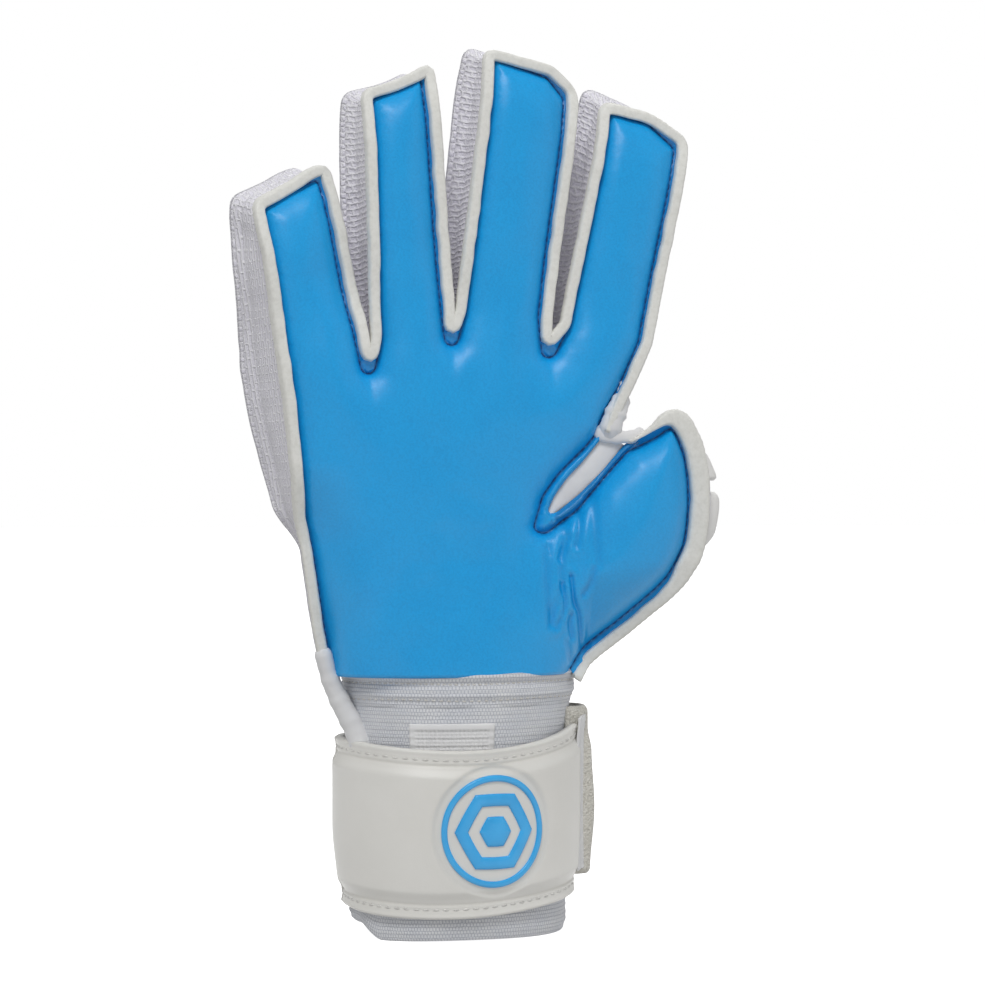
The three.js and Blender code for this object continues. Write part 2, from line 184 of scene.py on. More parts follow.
class Nodes:
    """A material's node tree, with short ways to add and join nodes."""

    def __init__(self, name, color, roughness, bump=0.3, distance=0.0004, sheen=0.0, specular=0.5):
        self.material = bpy.data.materials.new(name)
        self.material.use_nodes = True
        self.tree = self.material.node_tree
        self.shader = self.tree.nodes["Principled BSDF"]
        self.shader.inputs["Base Color"].default_value = (*color, 1)
        self.shader.inputs["Roughness"].default_value = roughness
        self.shader.inputs["Specular IOR Level"].default_value = specular
        self.shader.inputs["Sheen Weight"].default_value = sheen
        self.bump = self.tree.nodes.new("ShaderNodeBump")
        self.bump.inputs["Strength"].default_value = bump
        self.bump.inputs["Distance"].default_value = distance
        self.tree.links.new(self.bump.outputs["Normal"], self.shader.inputs["Normal"])

    def node(self, kind, **settings):
        made = self.tree.nodes.new(kind)
        for key, value in settings.items():
            setattr(made, key, value)
        return made

    def join(self, source, target):
        self.tree.links.new(source, target)

    def place(self, scale=(1, 1, 1), kind="Object"):
        """Coordinates: the object's own metres, or the cloth's own millimetres from its UV map."""
        mapping = self.node("ShaderNodeMapping")
        mapping.inputs["Scale"].default_value = scale
        if kind == "cloth":
            source = self.node("ShaderNodeUVMap", uv_map="cloth").outputs["UV"]
        else:
            source = self.node("ShaderNodeTexCoord").outputs["Object"]
        self.join(source, mapping.inputs["Vector"])
        return mapping.outputs["Vector"]

    def noise(self, place, scale, detail=4.0, rough=0.55):
        made = self.node("ShaderNodeTexNoise")
        made.inputs["Scale"].default_value = scale
        made.inputs["Detail"].default_value = detail
        made.inputs["Roughness"].default_value = rough
        self.join(place, made.inputs["Vector"])
        return made.outputs["Fac"]

    def wave(self, place, scale, direction="X", distortion=0.0):
        made = self.node("ShaderNodeTexWave", bands_direction=direction)
        made.inputs["Scale"].default_value = scale
        made.inputs["Distortion"].default_value = distortion
        self.join(place, made.inputs["Vector"])
        return made.outputs["Fac"]

    def voronoi(self, place, scale, feature="F1", randomness=1.0):
        made = self.node("ShaderNodeTexVoronoi", feature=feature)
        made.inputs["Scale"].default_value = scale
        made.inputs["Randomness"].default_value = randomness
        self.join(place, made.inputs["Vector"])
        return made.outputs["Distance"]

    def bricks(self, scale, width, row, gap, turned=False, uneven=0.0):
        """Staggered knit loops over the cloth's own millimetres: 1 in the gaps between them."""
        mapping = self.node("ShaderNodeMapping")
        mapping.inputs["Rotation"].default_value = (0, 0, math.pi / 2 if turned else 0)
        self.join(self.node("ShaderNodeUVMap", uv_map="cloth").outputs["UV"], mapping.inputs["Vector"])
        wander = self.node("ShaderNodeTexNoise")
        wander.inputs["Scale"].default_value = 0.45
        self.join(mapping.outputs["Vector"], wander.inputs["Vector"])
        shift = self.node("ShaderNodeVectorMath", operation="MULTIPLY_ADD")
        shift.inputs[1].default_value = (uneven, uneven, 0)
        self.join(wander.outputs["Color"], shift.inputs[0])
        self.join(mapping.outputs["Vector"], shift.inputs[2])
        made = self.node("ShaderNodeTexBrick")
        made.inputs["Scale"].default_value = scale
        made.inputs["Brick Width"].default_value = width
        made.inputs["Row Height"].default_value = row
        made.inputs["Mortar Size"].default_value = gap
        made.inputs["Mortar Smooth"].default_value = 1.0
        self.join(shift.outputs[0], made.inputs["Vector"])
        return made.outputs["Fac"]

    def math(self, operation, a, b, clamp=False):
        made = self.node("ShaderNodeMath", operation=operation, use_clamp=clamp)
        for socket, value in zip(made.inputs, (a, b)):
            if isinstance(value, (int, float)):
                socket.default_value = value
            else:
                self.join(value, socket)
        return made.outputs[0]

    def ramp(self, factor, stops):
        made = self.node("ShaderNodeValToRGB")
        elements = made.color_ramp.elements
        while len(elements) < len(stops):
            elements.new(0.5)
        for element, (position, color) in zip(elements, stops):
            element.position = position
            element.color = (*color, 1)
        self.join(factor, made.inputs["Fac"])
        return made.outputs["Color"]

    def blend(self, factor, a, b, kind="MIX"):
        made = self.node("ShaderNodeMix", data_type="RGBA", blend_type=kind)
        sockets = [made.inputs[0], made.inputs[6], made.inputs[7]]
        for socket, value in zip(sockets, (factor, a, b)):
            if isinstance(value, (int, float)):
                socket.default_value = value
            elif isinstance(value, tuple):
                socket.default_value = (*value, 1)
            else:
                self.join(value, socket)
        return made.outputs[2]

    def color(self, socket):
        self.join(socket, self.shader.inputs["Base Color"])

    def height(self, socket):
        self.join(socket, self.bump.inputs["Height"])


def floor_material():
    made = Nodes("studio_floor", (0.85, 0.85, 0.85), 0.9)
    made.shader.inputs["Emission Color"].default_value = (1, 1, 1, 1)
    made.shader.inputs["Emission Strength"].default_value = 0.84
    place = made.place()
    made.color(made.ramp(made.noise(place, 3.0), [(0.3, (0.83, 0.83, 0.83)), (0.7, (0.87, 0.87, 0.87))]))
    return made.material


def latex_material():
    """Foam latex: a fine pored skin, darkened by painted shade where the valley attribute marks its seams,
    allowances and creases.
    """
    made = Nodes("latex_blue", (0.02, 0.27, 0.62), 0.5, bump=0.12, distance=0.00025, specular=0.4)
    place = made.place()
    cloud = made.noise(place, 55, 5)
    grain = made.noise(place, 1500, 2)
    base = made.ramp(cloud, [(0.3, (0.002, 0.335, 0.760)), (0.7, (0.003, 0.375, 0.820))])
    speck = made.ramp(grain, [(0.34, (0.002, 0.30, 0.70)), (0.62, (0.004, 0.40, 0.86))])
    skin = made.blend(0.45, base, speck)
    # painted shade: the valley attribute darkens the blue in the seam valleys, on the seam allowances and
    # along the creases
    valley = made.node("ShaderNodeAttribute", attribute_name="valley").outputs["Fac"]
    made.color(made.blend(valley, skin, (0.002, 0.14, 0.42)))
    pores = made.voronoi(place, 2100)
    made.height(made.math("ADD", made.math("MULTIPLY", grain, 0.6), made.math("MULTIPLY", pores, 0.5)))
    made.shader.inputs["Roughness"].default_value = 0.37
    return made.material


def cut_foam_material():
    """The pale cut edge of the latex's foam backing: fine cells, a little uneven in tone."""
    made = Nodes("cut_foam", (0.74, 0.735, 0.69), 0.8, bump=0.22, distance=0.0004, specular=0.25)
    place = made.place()
    cells = made.noise(place, 620, 5, 0.6)
    patches = made.noise(place, 75, 3)
    stops = [(0.25, (0.70, 0.70, 0.66)), (0.55, (0.80, 0.80, 0.765)), (0.85, (0.84, 0.84, 0.815))]
    pale = made.ramp(cells, stops)
    made.color(made.blend(made.math("MULTIPLY", patches, 0.3), pale, (0.66, 0.65, 0.60)))
    made.height(made.math("ADD", cells, made.math("MULTIPLY", made.voronoi(place, 1100), 0.35)))
    return made.material


def spacer_mesh_material():
    """Spacer knit: short staggered loops, lengthwise where the piece says so, with painted violet shade in
    the gaps between them.
    """
    made = Nodes("spacer_mesh", (0.78, 0.77, 0.84), 0.9, bump=0.75, distance=0.0006, sheen=0.15, specular=0.2)
    lengthwise = made.node("ShaderNodeAttribute", attribute_name="valley").outputs["Fac"]
    across = made.bricks(1.0, 3.0, 1.75, 0.62, uneven=1.3)
    along = made.bricks(1.0, 5.2, 1.6, 0.60, turned=True, uneven=1.0)
    gaps = made.math("SUBTRACT", 1.0, made.blend(lengthwise, across, along))
    place = made.place((1, 1, 1), "cloth")
    fine = made.noise(place, 1.9, 4)
    patches = made.noise(place, 0.16, 3)
    tone = made.ramp(patches, [(0.3, (0.91, 0.90, 0.95)), (0.7, (0.95, 0.945, 0.975))])
    # painted shade: the gaps between the loops darken towards violet
    gap_shade = made.math("MULTIPLY", gaps, made.math("ADD", made.math("MULTIPLY", fine, 1.1), -0.05), clamp=True)
    made.color(made.blend(gap_shade, tone, (0.74, 0.72, 0.83)))
    made.height(made.math("ADD", made.math("MULTIPLY", gaps, -1.0), made.math("MULTIPLY", fine, 0.9)))
    return made.material


def foam_back_material():
    """The foam skin of the back: fine grain, with painted shade darkening its seam valleys and sewn grooves.
    """
    made = Nodes("back_foam_skin", (0.80, 0.79, 0.77), 0.6, bump=0.2, distance=0.0003, specular=0.35)
    place = made.place()
    grain = made.noise(place, 1300, 2)
    cloud = made.noise(place, 40, 4)
    tone = made.ramp(cloud, [(0.3, (0.77, 0.765, 0.745)), (0.7, (0.84, 0.835, 0.82))])
    valley = made.node("ShaderNodeAttribute", attribute_name="valley").outputs["Fac"]
    # painted shade: the valley attribute darkens the seam valleys and grooves
    made.color(made.blend(valley, tone, (0.55, 0.54, 0.53)))
    made.height(grain)
    return made.material


def smooth_cloth_material(name, light, dark):
    made = Nodes(name, light, 0.7, bump=0.25, distance=0.0003, sheen=0.1, specular=0.3)
    place = made.place()
    weave = made.math("ADD", made.wave(place, 900, "X", 1.0), made.wave(place, 900, "Z", 1.0))
    made.color(made.ramp(made.noise(place, 60, 4), [(0.3, dark), (0.7, light)]))
    made.height(weave)
    return made.material


def strap_material():
    """Coated cloth over thin foam: nearly smooth, with a faint grain and soft highlights, and painted shade
    in its sewn creases and round the badge.
    """
    made = Nodes("strap_skin", (0.80, 0.79, 0.75), 0.42, bump=0.12, distance=0.0003, specular=0.5)
    place = made.place()
    cloud = made.noise(place, 28, 4)
    grain = made.noise(place, 1100, 3)
    tone = made.ramp(cloud, [(0.3, (0.735, 0.725, 0.685)), (0.7, (0.80, 0.79, 0.755))])
    # painted shade: the valley attribute darkens the border creases, the edges and the ring round the badge
    valley = made.node("ShaderNodeAttribute", attribute_name="valley").outputs["Fac"]
    made.color(made.blend(valley, tone, (0.60, 0.58, 0.53)))
    made.height(grain)
    return made.material


def elastic_material():
    """Woven elastic: staggered rows of small raised picks, with painted shade in the gaps between them."""
    made = Nodes("elastic_knit", (0.76, 0.78, 0.83), 0.85, bump=0.7, distance=0.0004, sheen=0.1,
                 specular=0.25)
    gaps = made.bricks(1.0, 0.86, 1.2, 0.17, uneven=0.35)
    place = made.place((1, 1, 1), "cloth")
    fine = made.noise(place, 2.6, 3)
    patch = made.noise(place, 0.11, 3)
    tone = made.ramp(patch, [(0.3, (0.78, 0.80, 0.85)), (0.7, (0.87, 0.88, 0.90))])
    # painted shade in the gaps between the picks
    gap_shade = made.math("MULTIPLY", gaps, made.math("ADD", fine, 0.15), clamp=True)
    made.color(made.blend(gap_shade, tone, (0.56, 0.59, 0.67)))
    made.height(made.math("ADD", made.math("MULTIPLY", gaps, -1.0), made.math("MULTIPLY", fine, 0.3)))
    return made.material


def tape_material(name, scale):
    """Hook or loop tape: dense curled pile."""
    made = Nodes(name, (0.76, 0.74, 0.67), 0.95, bump=0.8, distance=0.0005, sheen=0.3, specular=0.15)
    place = made.place()
    pile = made.noise(place, scale, 6, 0.7)
    tufts = made.voronoi(place, scale * 1.4)
    stops = [(0.3, (0.58, 0.555, 0.49)), (0.55, (0.74, 0.72, 0.655)), (0.75, (0.84, 0.825, 0.78))]
    made.color(made.ramp(pile, stops))
    made.height(made.math("ADD", pile, tufts))
    return made.material


def thread_material(name, light, dark):
    made = Nodes(name, light, 0.7, bump=0.5, distance=0.0002)
    place = made.place()
    made.color(made.ramp(made.noise(place, 900, 3), [(0.35, dark), (0.65, light)]))
    made.height(made.wave(place, 1600, "DIAGONAL"))
    return made.material


def badge_material():
    """A moulded transfer: smooth, slightly glossy blue."""
    made = Nodes("badge_blue", (0.03, 0.33, 0.78), 0.32, bump=0.08, distance=0.0002, specular=0.5)
    place = made.place()
    made.color(made.ramp(made.noise(place, 160, 3), [(0.3, (0.030, 0.40, 0.84)), (0.7, (0.045, 0.46, 0.92))]))
    made.height(made.noise(place, 800, 2))
    return made.material


# ---- the hand's plan, in millimetres ----------------------------------------------------------

class Finger:
    """A finger's plan: its centre line leans, and it rolls about that line above its cut."""

    def __init__(self, name, x, lean, roll, base, end, depth, cut, knuckle, joint,
                 tip, tip_lift, folded, pitch):
        self.name, self.x, self.roll = name, x, math.radians(roll)
        self.base, self.end, self.depth = base, end, depth
        self.slope = math.tan(math.radians(lean))
        self.cut, self.knuckle, self.joint = cut, knuckle, joint
        self.split = 2 * knuckle - cut
        self.tip, self.tip_lift, self.folded, self.pitch = tip, tip_lift, folded, pitch
        self.shift = depth / 2 * math.sin(self.roll)

    def tip_height(self, x, z):
        """Height of the tip's edge over the point's place across the finger."""
        share = (x - self.centre(z)) / self.half(z)
        return np.interp(share, [corner[0] for corner in self.tip], [corner[1] for corner in self.tip])

    def turn(self, z):
        return smooth((z - self.cut) / (self.knuckle + 12 - self.cut))

    def centre(self, z):
        return self.x + (z - 190) * self.slope + (1 - self.turn(z)) * self.shift

    def half(self, z):
        return mix(self.base, self.end, (z - 190) / (max(corner[1] for corner in self.tip) - 190))


# the tip's corners are given as a share of the half width, and a height
FINGERS = [
    Finger("little", -56.6, -9.6, 15, 11.4, 10.4, 28, 189, 200, 222,
           [(-1, 230.8), (-0.1, 236.8), (0.55, 242.0), (1, 244.4)], 0.6, 2.6, 3.6),
    Finger("ring", -25.6, -2.8, 8, 10.2, 8.5, 30, 198, 211, 238,
           [(-1, 267.2), (0.2, 271.8), (0.8, 275.6), (1, 277.0)], 0.6, 1.6, 2.2),
    Finger("middle", 2.9, 7.6, 6, 12.1, 13.0, 30, 198, 211, 238,
           [(-1, 281.2), (0.45, 277.2), (1, 270.6)], 0.7, 0.8, 4.0),
    Finger("index", 38.4, 12.0, 1, 12.1, 12.2, 30, 195, 208, 234,
           [(-1, 264.6), (0.1, 261.8), (1, 255.0)], 0.9, 0.8, 7.4),
]
LITTLE = FINGERS[0]
FORKS = [(-38.2, 180.0), (-11.3, 189.4), (20.4, 185.8)]

PALM_BOTTOM = 85.0
PALM_FACE = 17.0
ULNAR_EDGE = [(-47.9, 80.5), (-48.8, PALM_BOTTOM), (-51.4, 97), (-55.3, 122.4), (-59.2, 148),
              (-62.2, 173), (-64.2, 186)]
KNEE = (44.3, 176.5)
CROTCH = (37.6, 166.0)

# the slit beside the thumb, from the crotch to its blunt foot and back: its stitched seam and its open edge
SLIT_SEAM = [(36.3, 161.3), (32.0, 156.4), (23.9, 148.6), (18.6, 141.4), (15.4, 130.6),
             (19.0, 128.8), (29.6, 136.4), (40.0, 148.2), (46.9, 155.8)]
SLIT_OPENING = [(38.8, 160.8), (31.6, 152.0), (26.4, 146.8), (22.4, 141.2), (19.9, 135.8),
                (22.4, 135.4), (30.8, 142.0), (38.6, 149.6), (45.6, 157.9)]
SLIT_FOOT = (17.2, 130.2)
CREASE_FOOT = (28.0, PALM_BOTTOM)
THUMB_EDGE = [(46.9, 155.8), (52.4, 158.2), (57.2, 160.7), (61.4, 163.2), (64.0, 158.8), (65.9, 153.5),
              (66.9, 147.0), (67.2, 140.5), (66.9, 134.0), (65.9, 126.8), (63.5, 121.0), (58.5, 113.1),
              (46.5, 102.1), (39.2, 96.2), (32.5, 90.6), (28.0, PALM_BOTTOM), (21.0, 75.8)]
THUMB_FOOT = 82.2        # the thumb's edge runs on past the palm's lower edge
RIM_OFF = 2.9            # from the seam out to the middle of the cut edge
RIM_LIFT = 5.2           # from a slot's sewn foot up to its open foot
HIDDEN_SIDE = 0.9        # how much of a finger's sewn margin turns away on its thumb side


def through(points, step=1.0):
    """A smooth curve through the points, sampled about every step (Catmull-Rom)."""
    pts = np.asarray(points, float)
    ends = np.vstack([2 * pts[0] - pts[1], pts, 2 * pts[-1] - pts[-2]])
    out = []
    for a, b, c, d in zip(ends[:-3], ends[1:-2], ends[2:-1], ends[3:]):
        count = max(int(np.linalg.norm(c - b) / step), 1)
        for t in np.arange(count) / count:
            out.append(0.5 * (2 * b + (c - a) * t + (2 * a - 5 * b + 4 * c - d) * t ** 2
                              + (3 * b - a - 3 * c + d) * t ** 3))
    return np.array(out + [pts[-1]])


def rounded(points):
    """A polyline of (x, z, radius) corners, each corner turned into an arc-like curve."""
    out = []
    for i, (x, z, radius) in enumerate(points):
        here = np.array([x, z])
        if radius <= 0 or i in (0, len(points) - 1):
            out.append(here)
            continue
        before, after = np.array(points[i - 1][:2]), np.array(points[i + 1][:2])
        to_before, to_after = before - here, after - here
        reach = min(radius, np.linalg.norm(to_before) * 0.5, np.linalg.norm(to_after) * 0.5)
        start = here + to_before / np.linalg.norm(to_before) * reach
        end = here + to_after / np.linalg.norm(to_after) * reach
        for t in np.linspace(0, 1, 7):
            out.append((1 - t) ** 2 * start + 2 * t * (1 - t) * here + t ** 2 * end)
    return np.array(out)


def outward(path):
    """The in-plane normals of a path that runs clockwise, so that they point away from the hand."""
    along = np.gradient(path, axis=0)
    along /= np.linalg.norm(along, axis=1)[:, None]
    return np.stack([-along[:, 1], along[:, 0]], axis=1)


def evenly(path, step):
    gaps = np.linalg.norm(np.diff(path, axis=0), axis=1)
    keep = np.concatenate([[True], gaps > 1e-6])
    path = path[keep]
    length = run_of(path)
    at = np.linspace(0, length[-1], int(length[-1] / step) + 1)
    return np.stack([np.interp(at, length, path[:, k]) for k in range(2)], axis=1)


def hand_path(out, step=1.1):
    """The hand's contour seen from the palm, from the ulnar foot over the fingers to the thumb's foot.
    out is 0 for the sewn seam and 1 for the middle of the cut edge outside it."""
    off, near = out * RIM_OFF, out * RIM_OFF * 0.7
    margin = mix(-0.45, off - HIDDEN_SIDE, out)
    corners = [(x - near, z, 0) for x, z in through(ULNAR_EDGE, 3)[:-1]]
    for i, finger in enumerate(FINGERS):
        low_left = FORKS[i - 1][1] + 11 if i else 190
        low_right = FORKS[i][1] + 11 if i < 3 else 190
        first, last = finger.tip[0], finger.tip[-1]
        for z in np.arange(low_left, first[1] - 4, 4):
            corners.append((finger.centre(z) - finger.half(z) - near, z, 0))
        for share, z in finger.tip:
            edge = share * finger.half(z)
            edge += (-near if share < 0 else margin) * abs(share)
            tuck = finger.folded * (1 - out) * (share > 0.4)
            corners.append((finger.centre(z) + edge, z + near * finger.tip_lift - tuck, 0.8 + 0.5 * off))
        for z in np.arange(last[1] - 4, low_right, -4):
            corners.append((finger.centre(z) + finger.half(z) + margin, z, 0))
        if i < 3:
            x, z = FORKS[i]
            narrow = 1.9 - 0.35 * off
            corners += [(x - narrow, z + out * RIM_LIFT, 1.6), (x + narrow, z + out * RIM_LIFT, 1.6)]
    corners.append((KNEE[0] + off * 0.8 - 0.6, KNEE[1] - off * 0.2, 4))
    corners.append((CROTCH[0] + off * 0.9, CROTCH[1] - off * 0.4, 3))
    slit = mix(np.array(SLIT_SEAM), np.array(SLIT_OPENING), out)
    corners += [(x, z, 0.9 + 0.9 * out) for x, z in slit[:-1]]
    path = rounded(corners + [(*slit[-1], 0)])
    thumb = through(THUMB_EDGE, 1.0)
    ease = smooth(np.arange(len(thumb)) / 14)
    wide = out * mix(2.7, 3.5, ease)
    thumb = thumb + outward(thumb) * wide[:, None]
    whole = evenly(np.vstack([path, thumb[2:]]), step)
    whole[1:-1] = whole[1:-1] * 0.5 + (whole[:-2] + whole[2:]) * 0.25
    kept = np.flatnonzero(whole[:, 1] > PALM_BOTTOM + 0.3)
    first = kept[0]

    def foot(inner, outer, level):
        share = (whole[inner, 1] - level) / (whole[inner, 1] - whole[outer, 1])
        return mix(whole[inner], whole[outer], share)

    low = np.flatnonzero(whole[:, 1] > THUMB_FOOT + 0.3)[-1]
    ulnar_foot, thumb_foot = foot(first, first - 1, PALM_BOTTOM), foot(low, low + 1, THUMB_FOOT)
    return np.vstack([ulnar_foot, whole[first:low + 1], thumb_foot])


def lane_of(x, z):
    """The finger whose lane a point lies in."""
    spread = np.stack([np.abs(x - f.centre(z)) - f.half(z) for f in FINGERS])
    return np.argmin(spread, axis=0)


def oval_depth(x):
    return 24.5 * np.sqrt(np.clip(1 - ((x + 8) / 44.5) ** 2, 0.10, 1))


def face_depth(x, z, lane):
    """Depth of the palm's and back's seam level from the middle of the hand."""
    finger_depth = np.array([f.depth / 2 for f in FINGERS])[lane]
    above = smooth((z - 178) / 34)
    depth = mix(PALM_FACE, finger_depth, above)
    for i, finger in enumerate(FINGERS):
        near_tip = np.clip((z - finger.tip_height(x, z) + 20) / 20, 0, 1.1) * (lane == i) * (z > 200)
        depth = depth - 3.6 * near_tip ** 2
    thin = 6.5 * smooth((152 - z) / 26) * smooth((-x - 38) / 16)
    depth = depth - thin
    return mix(depth, oval_depth(x), smooth((122 - z) / 38))


def placed(x, y, z):
    """Bend the flat plan into the hand: fingers roll and their tips tilt, and the back swings outward."""
    x, y, z = np.broadcast_arrays(np.asarray(x, float), np.asarray(y, float), np.asarray(z, float))
    lane = lane_of(x, z)
    out_x, out_y, out_z = x.copy(), y.copy(), z.copy()
    for i, finger in enumerate(FINGERS):
        here = (lane == i) & (z > finger.cut)
        if not here.any():
            continue
        turn = finger.turn(z[here]) * finger.roll
        centre = finger.centre(z[here])
        axis = finger.x + (z[here] - 190) * finger.slope
        level = finger.depth / 2
        offset = x[here] - centre
        rest = finger.shift - level * np.sin(turn)
        out_x[here] = axis + rest + offset * np.cos(turn) - y[here] * np.sin(turn)
        out_y[here] = offset * np.sin(turn) + y[here] * np.cos(turn)
        tilt = finger.pitch * smooth((z[here] - finger.joint + 8) / (finger.tip[0][1] - finger.joint))
        tilt = tilt * (1 - 0.4 * np.clip(offset / finger.half(z[here]), -1.3, 1.3))
        out_z[here] += tilt * np.clip(y[here] / level + 1, 0, 2.2) / 2
    swing = -3.2 + 7.2 * smooth((z - 123) / 15) + 3.4 * smooth((z - 138) / 38)
    swing = swing * smooth((-30 - x) / 22)
    swing = swing * (1 - LITTLE.turn(z))
    out_x = out_x - swing * (out_y + 15) / 30
    under_index = smooth((174 - z) / 5)
    thumb = smooth((x - mix(50, 40, smooth((z - 140) / 14))) / 14) * under_index * smooth((z - 112) / 18)
    out_x = out_x + 12.0 * thumb * smooth((out_y + 12) / 26)
    thumb_top = smooth((x - 40) / 8) * smooth((z - 144) / 16) * under_index
    out_z = out_z - 7.5 * thumb_top * smooth((out_y + 12) / 26)
    return np.stack([out_x, out_y, out_z], axis=-1)


# ---- cutting one long surface into the pieces that follow each body ----------------------------

def key_of(x, z, beyond_slit):
    """Which piece a point of the plan belongs to."""
    if beyond_slit and z < 176:
        return "thumb"
    finger = FINGERS[int(lane_of(np.array(x), np.array(z)))]
    if z < finger.cut:
        return "root"
    return f"{finger.name}_lower" if z < finger.split else f"{finger.name}_upper"


def with_stations(path):
    """The path with a point exactly on every height where two pieces meet."""
    out = [path[0]]
    for a, b in zip(path[:-1], path[1:]):
        finger = FINGERS[int(lane_of(np.array((a[0] + b[0]) / 2), np.array((a[1] + b[1]) / 2)))]
        for station in sorted((finger.cut, finger.split), reverse=a[1] > b[1]):
            if (a[1] - station) * (b[1] - station) < 0 and max(a[1], b[1]) > 176:
                t = (station - a[1]) / (b[1] - a[1])
                crossing = a + (b - a) * t
                if np.linalg.norm(out[-1] - crossing) < 0.25:
                    out[-1] = crossing
                else:
                    out.append(crossing)
        if np.linalg.norm(out[-1] - b) > 0.25 or b is path[-1]:
            out.append(b)
    return np.array(out)


def foot_index(path):
    """The path's point at the foot of the slit."""
    near = np.hypot(path[:, 0] - SLIT_FOOT[0], path[:, 1] - SLIT_FOOT[1])
    return int(np.argmin(near))


def stretches(path):
    """The runs of the path that belong to one piece: (key, first index, last index)."""
    foot = foot_index(path)
    middle = (path[:-1] + path[1:]) / 2
    keys = [key_of(x, z, i >= foot) for i, (x, z) in enumerate(middle)]
    runs = []
    start = 0
    for i in range(1, len(keys) + 1):
        if i == len(keys) or keys[i] != keys[start]:
            runs.append((keys[start], start, i))
            start = i
    return runs


SEAM = hand_path(0)
RIM = with_stations(hand_path(1))
RIM_OUT = outward(RIM)
RUNS = stretches(RIM)
RIM_LENGTH = run_of(RIM)
FOOT = foot_index(RIM)
IN_SLIT = (RIM[:, 1] < 162.6) & (RIM[:, 1] > 120) & (np.abs(RIM[:, 0] - 33) < 14.4)
IN_SLIT &= np.abs(np.arange(len(RIM)) - FOOT) < 48


def make_mesh(name, verts, faces, material, cloth=None, valley=None, normals=None):
    """An object from points in millimetres, with the cloth's own coordinates in millimetres."""
    mesh = bpy.data.meshes.new(name)
    mesh.from_pydata(metres(verts).tolist(), [], [tuple(map(int, face)) for face in faces])
    mesh.validate()
    mesh.polygons.foreach_set("use_smooth", [True] * len(mesh.polygons))
    if cloth is not None:
        layer = mesh.uv_layers.new(name="cloth")
        corner = np.empty(len(mesh.loops), int)
        mesh.loops.foreach_get("vertex_index", corner)
        layer.data.foreach_set("uv", np.asarray(cloth, float)[corner].ravel())
    # the valley attribute is painted shade on the latex and foam pieces; on the side walls it marks where the
    # knit runs lengthwise
    if valley is not None:
        attribute = mesh.attributes.new("valley", "FLOAT", "POINT")
        attribute.data.foreach_set("value", np.asarray(valley, np.float32))
    if normals is not None:
        mesh.normals_split_custom_set_from_vertices([tuple(n) for n in normals])
    mesh.materials.append(material)
    made = bpy.data.objects.new(name, mesh)
    bpy.context.scene.collection.objects.link(made)
    return made


def vertex_normals(verts, faces):
    """Area-weighted normals of a triangle or quad mesh."""
    normals = np.zeros_like(verts)
    faces = np.asarray(faces)
    a, b, c = verts[faces[:, 0]], verts[faces[:, 1]], verts[faces[:, 2]]
    cross = np.cross(b - a, c - a)
    if faces.shape[1] == 4:
        cross = np.cross(c - a, verts[faces[:, 3]] - b)
    for k in range(faces.shape[1]):
        np.add.at(normals, faces[:, k], cross)
    return normals / np.maximum(np.linalg.norm(normals, axis=1), 1e-12)[:, None]


def split_by_key(name, verts, faces, keys, material, cloth=None, valley=None):
    """One mesh for each key, with the whole surface's normals, so that no seam shows between them."""
    verts, faces, keys = np.asarray(verts), np.asarray(faces), np.asarray(keys)
    normals = vertex_normals(verts, faces)
    pieces = {}
    for key in dict.fromkeys(keys.tolist()):
        chosen = faces[keys == key]
        used = np.unique(chosen)
        renumber = np.full(len(verts), -1)
        renumber[used] = np.arange(len(used))
        pieces[key] = make_mesh(
            f"{key}_{name}" if key != "root" else f"hand_{name}", verts[used], renumber[chosen], material,
            None if cloth is None else np.asarray(cloth)[used],
            None if valley is None else np.asarray(valley)[used], normals[used])
    return pieces


def finger_named(key):
    """The finger that a key belongs to, or None for the hand and the thumb."""
    return next((finger for finger in FINGERS if key.startswith(finger.name)), None)


def follow(piece, key):
    """Attach a piece of the root to the root body; bake the transform of any other piece into its points."""
    if key == "root":
        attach(piece, "root")
    elif key == "thumb":
        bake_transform(piece)
    elif key.endswith("lower"):
        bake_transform(piece)
    else:
        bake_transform(piece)


# ---- the palm's and back's sheets -------------------------------------------------------------

def distance_to(path, points):
    """Distance from each point to the path."""
    a, b = path[:-1], path[1:]
    best = np.full(len(points), 1e9)
    for start, end in zip(a, b):
        along = end - start
        t = np.clip(((points - start) @ along) / (along @ along), 0, 1)
        gap = points - start - t[:, None] * along
        best = np.minimum(best, np.einsum("ij,ij->i", gap, gap))
    return np.sqrt(best)


def inside(loop, points):
    """Whether each point lies inside the closed loop."""
    x, z = points[:, 0], points[:, 1]
    hit = np.zeros(len(points), bool)
    for (x1, z1), (x2, z2) in zip(loop, np.roll(loop, -1, axis=0)):
        crosses = (z1 > z) != (z2 > z)
        slope = (x2 - x1) / (z2 - z1) if z1 != z2 else 0
        hit ^= crosses & (x < x1 + (z - z1) * slope)
    return hit


def within_seam(points):
    """Whether each point lies inside the seam, which is closed well below the palm's lower edge."""
    below = 60
    return inside(np.vstack([SEAM, [[SEAM[-1][0], below], [SEAM[0][0], below]]]), points)


SPACING = 1.7            # between the points of the palm's and back's sheets


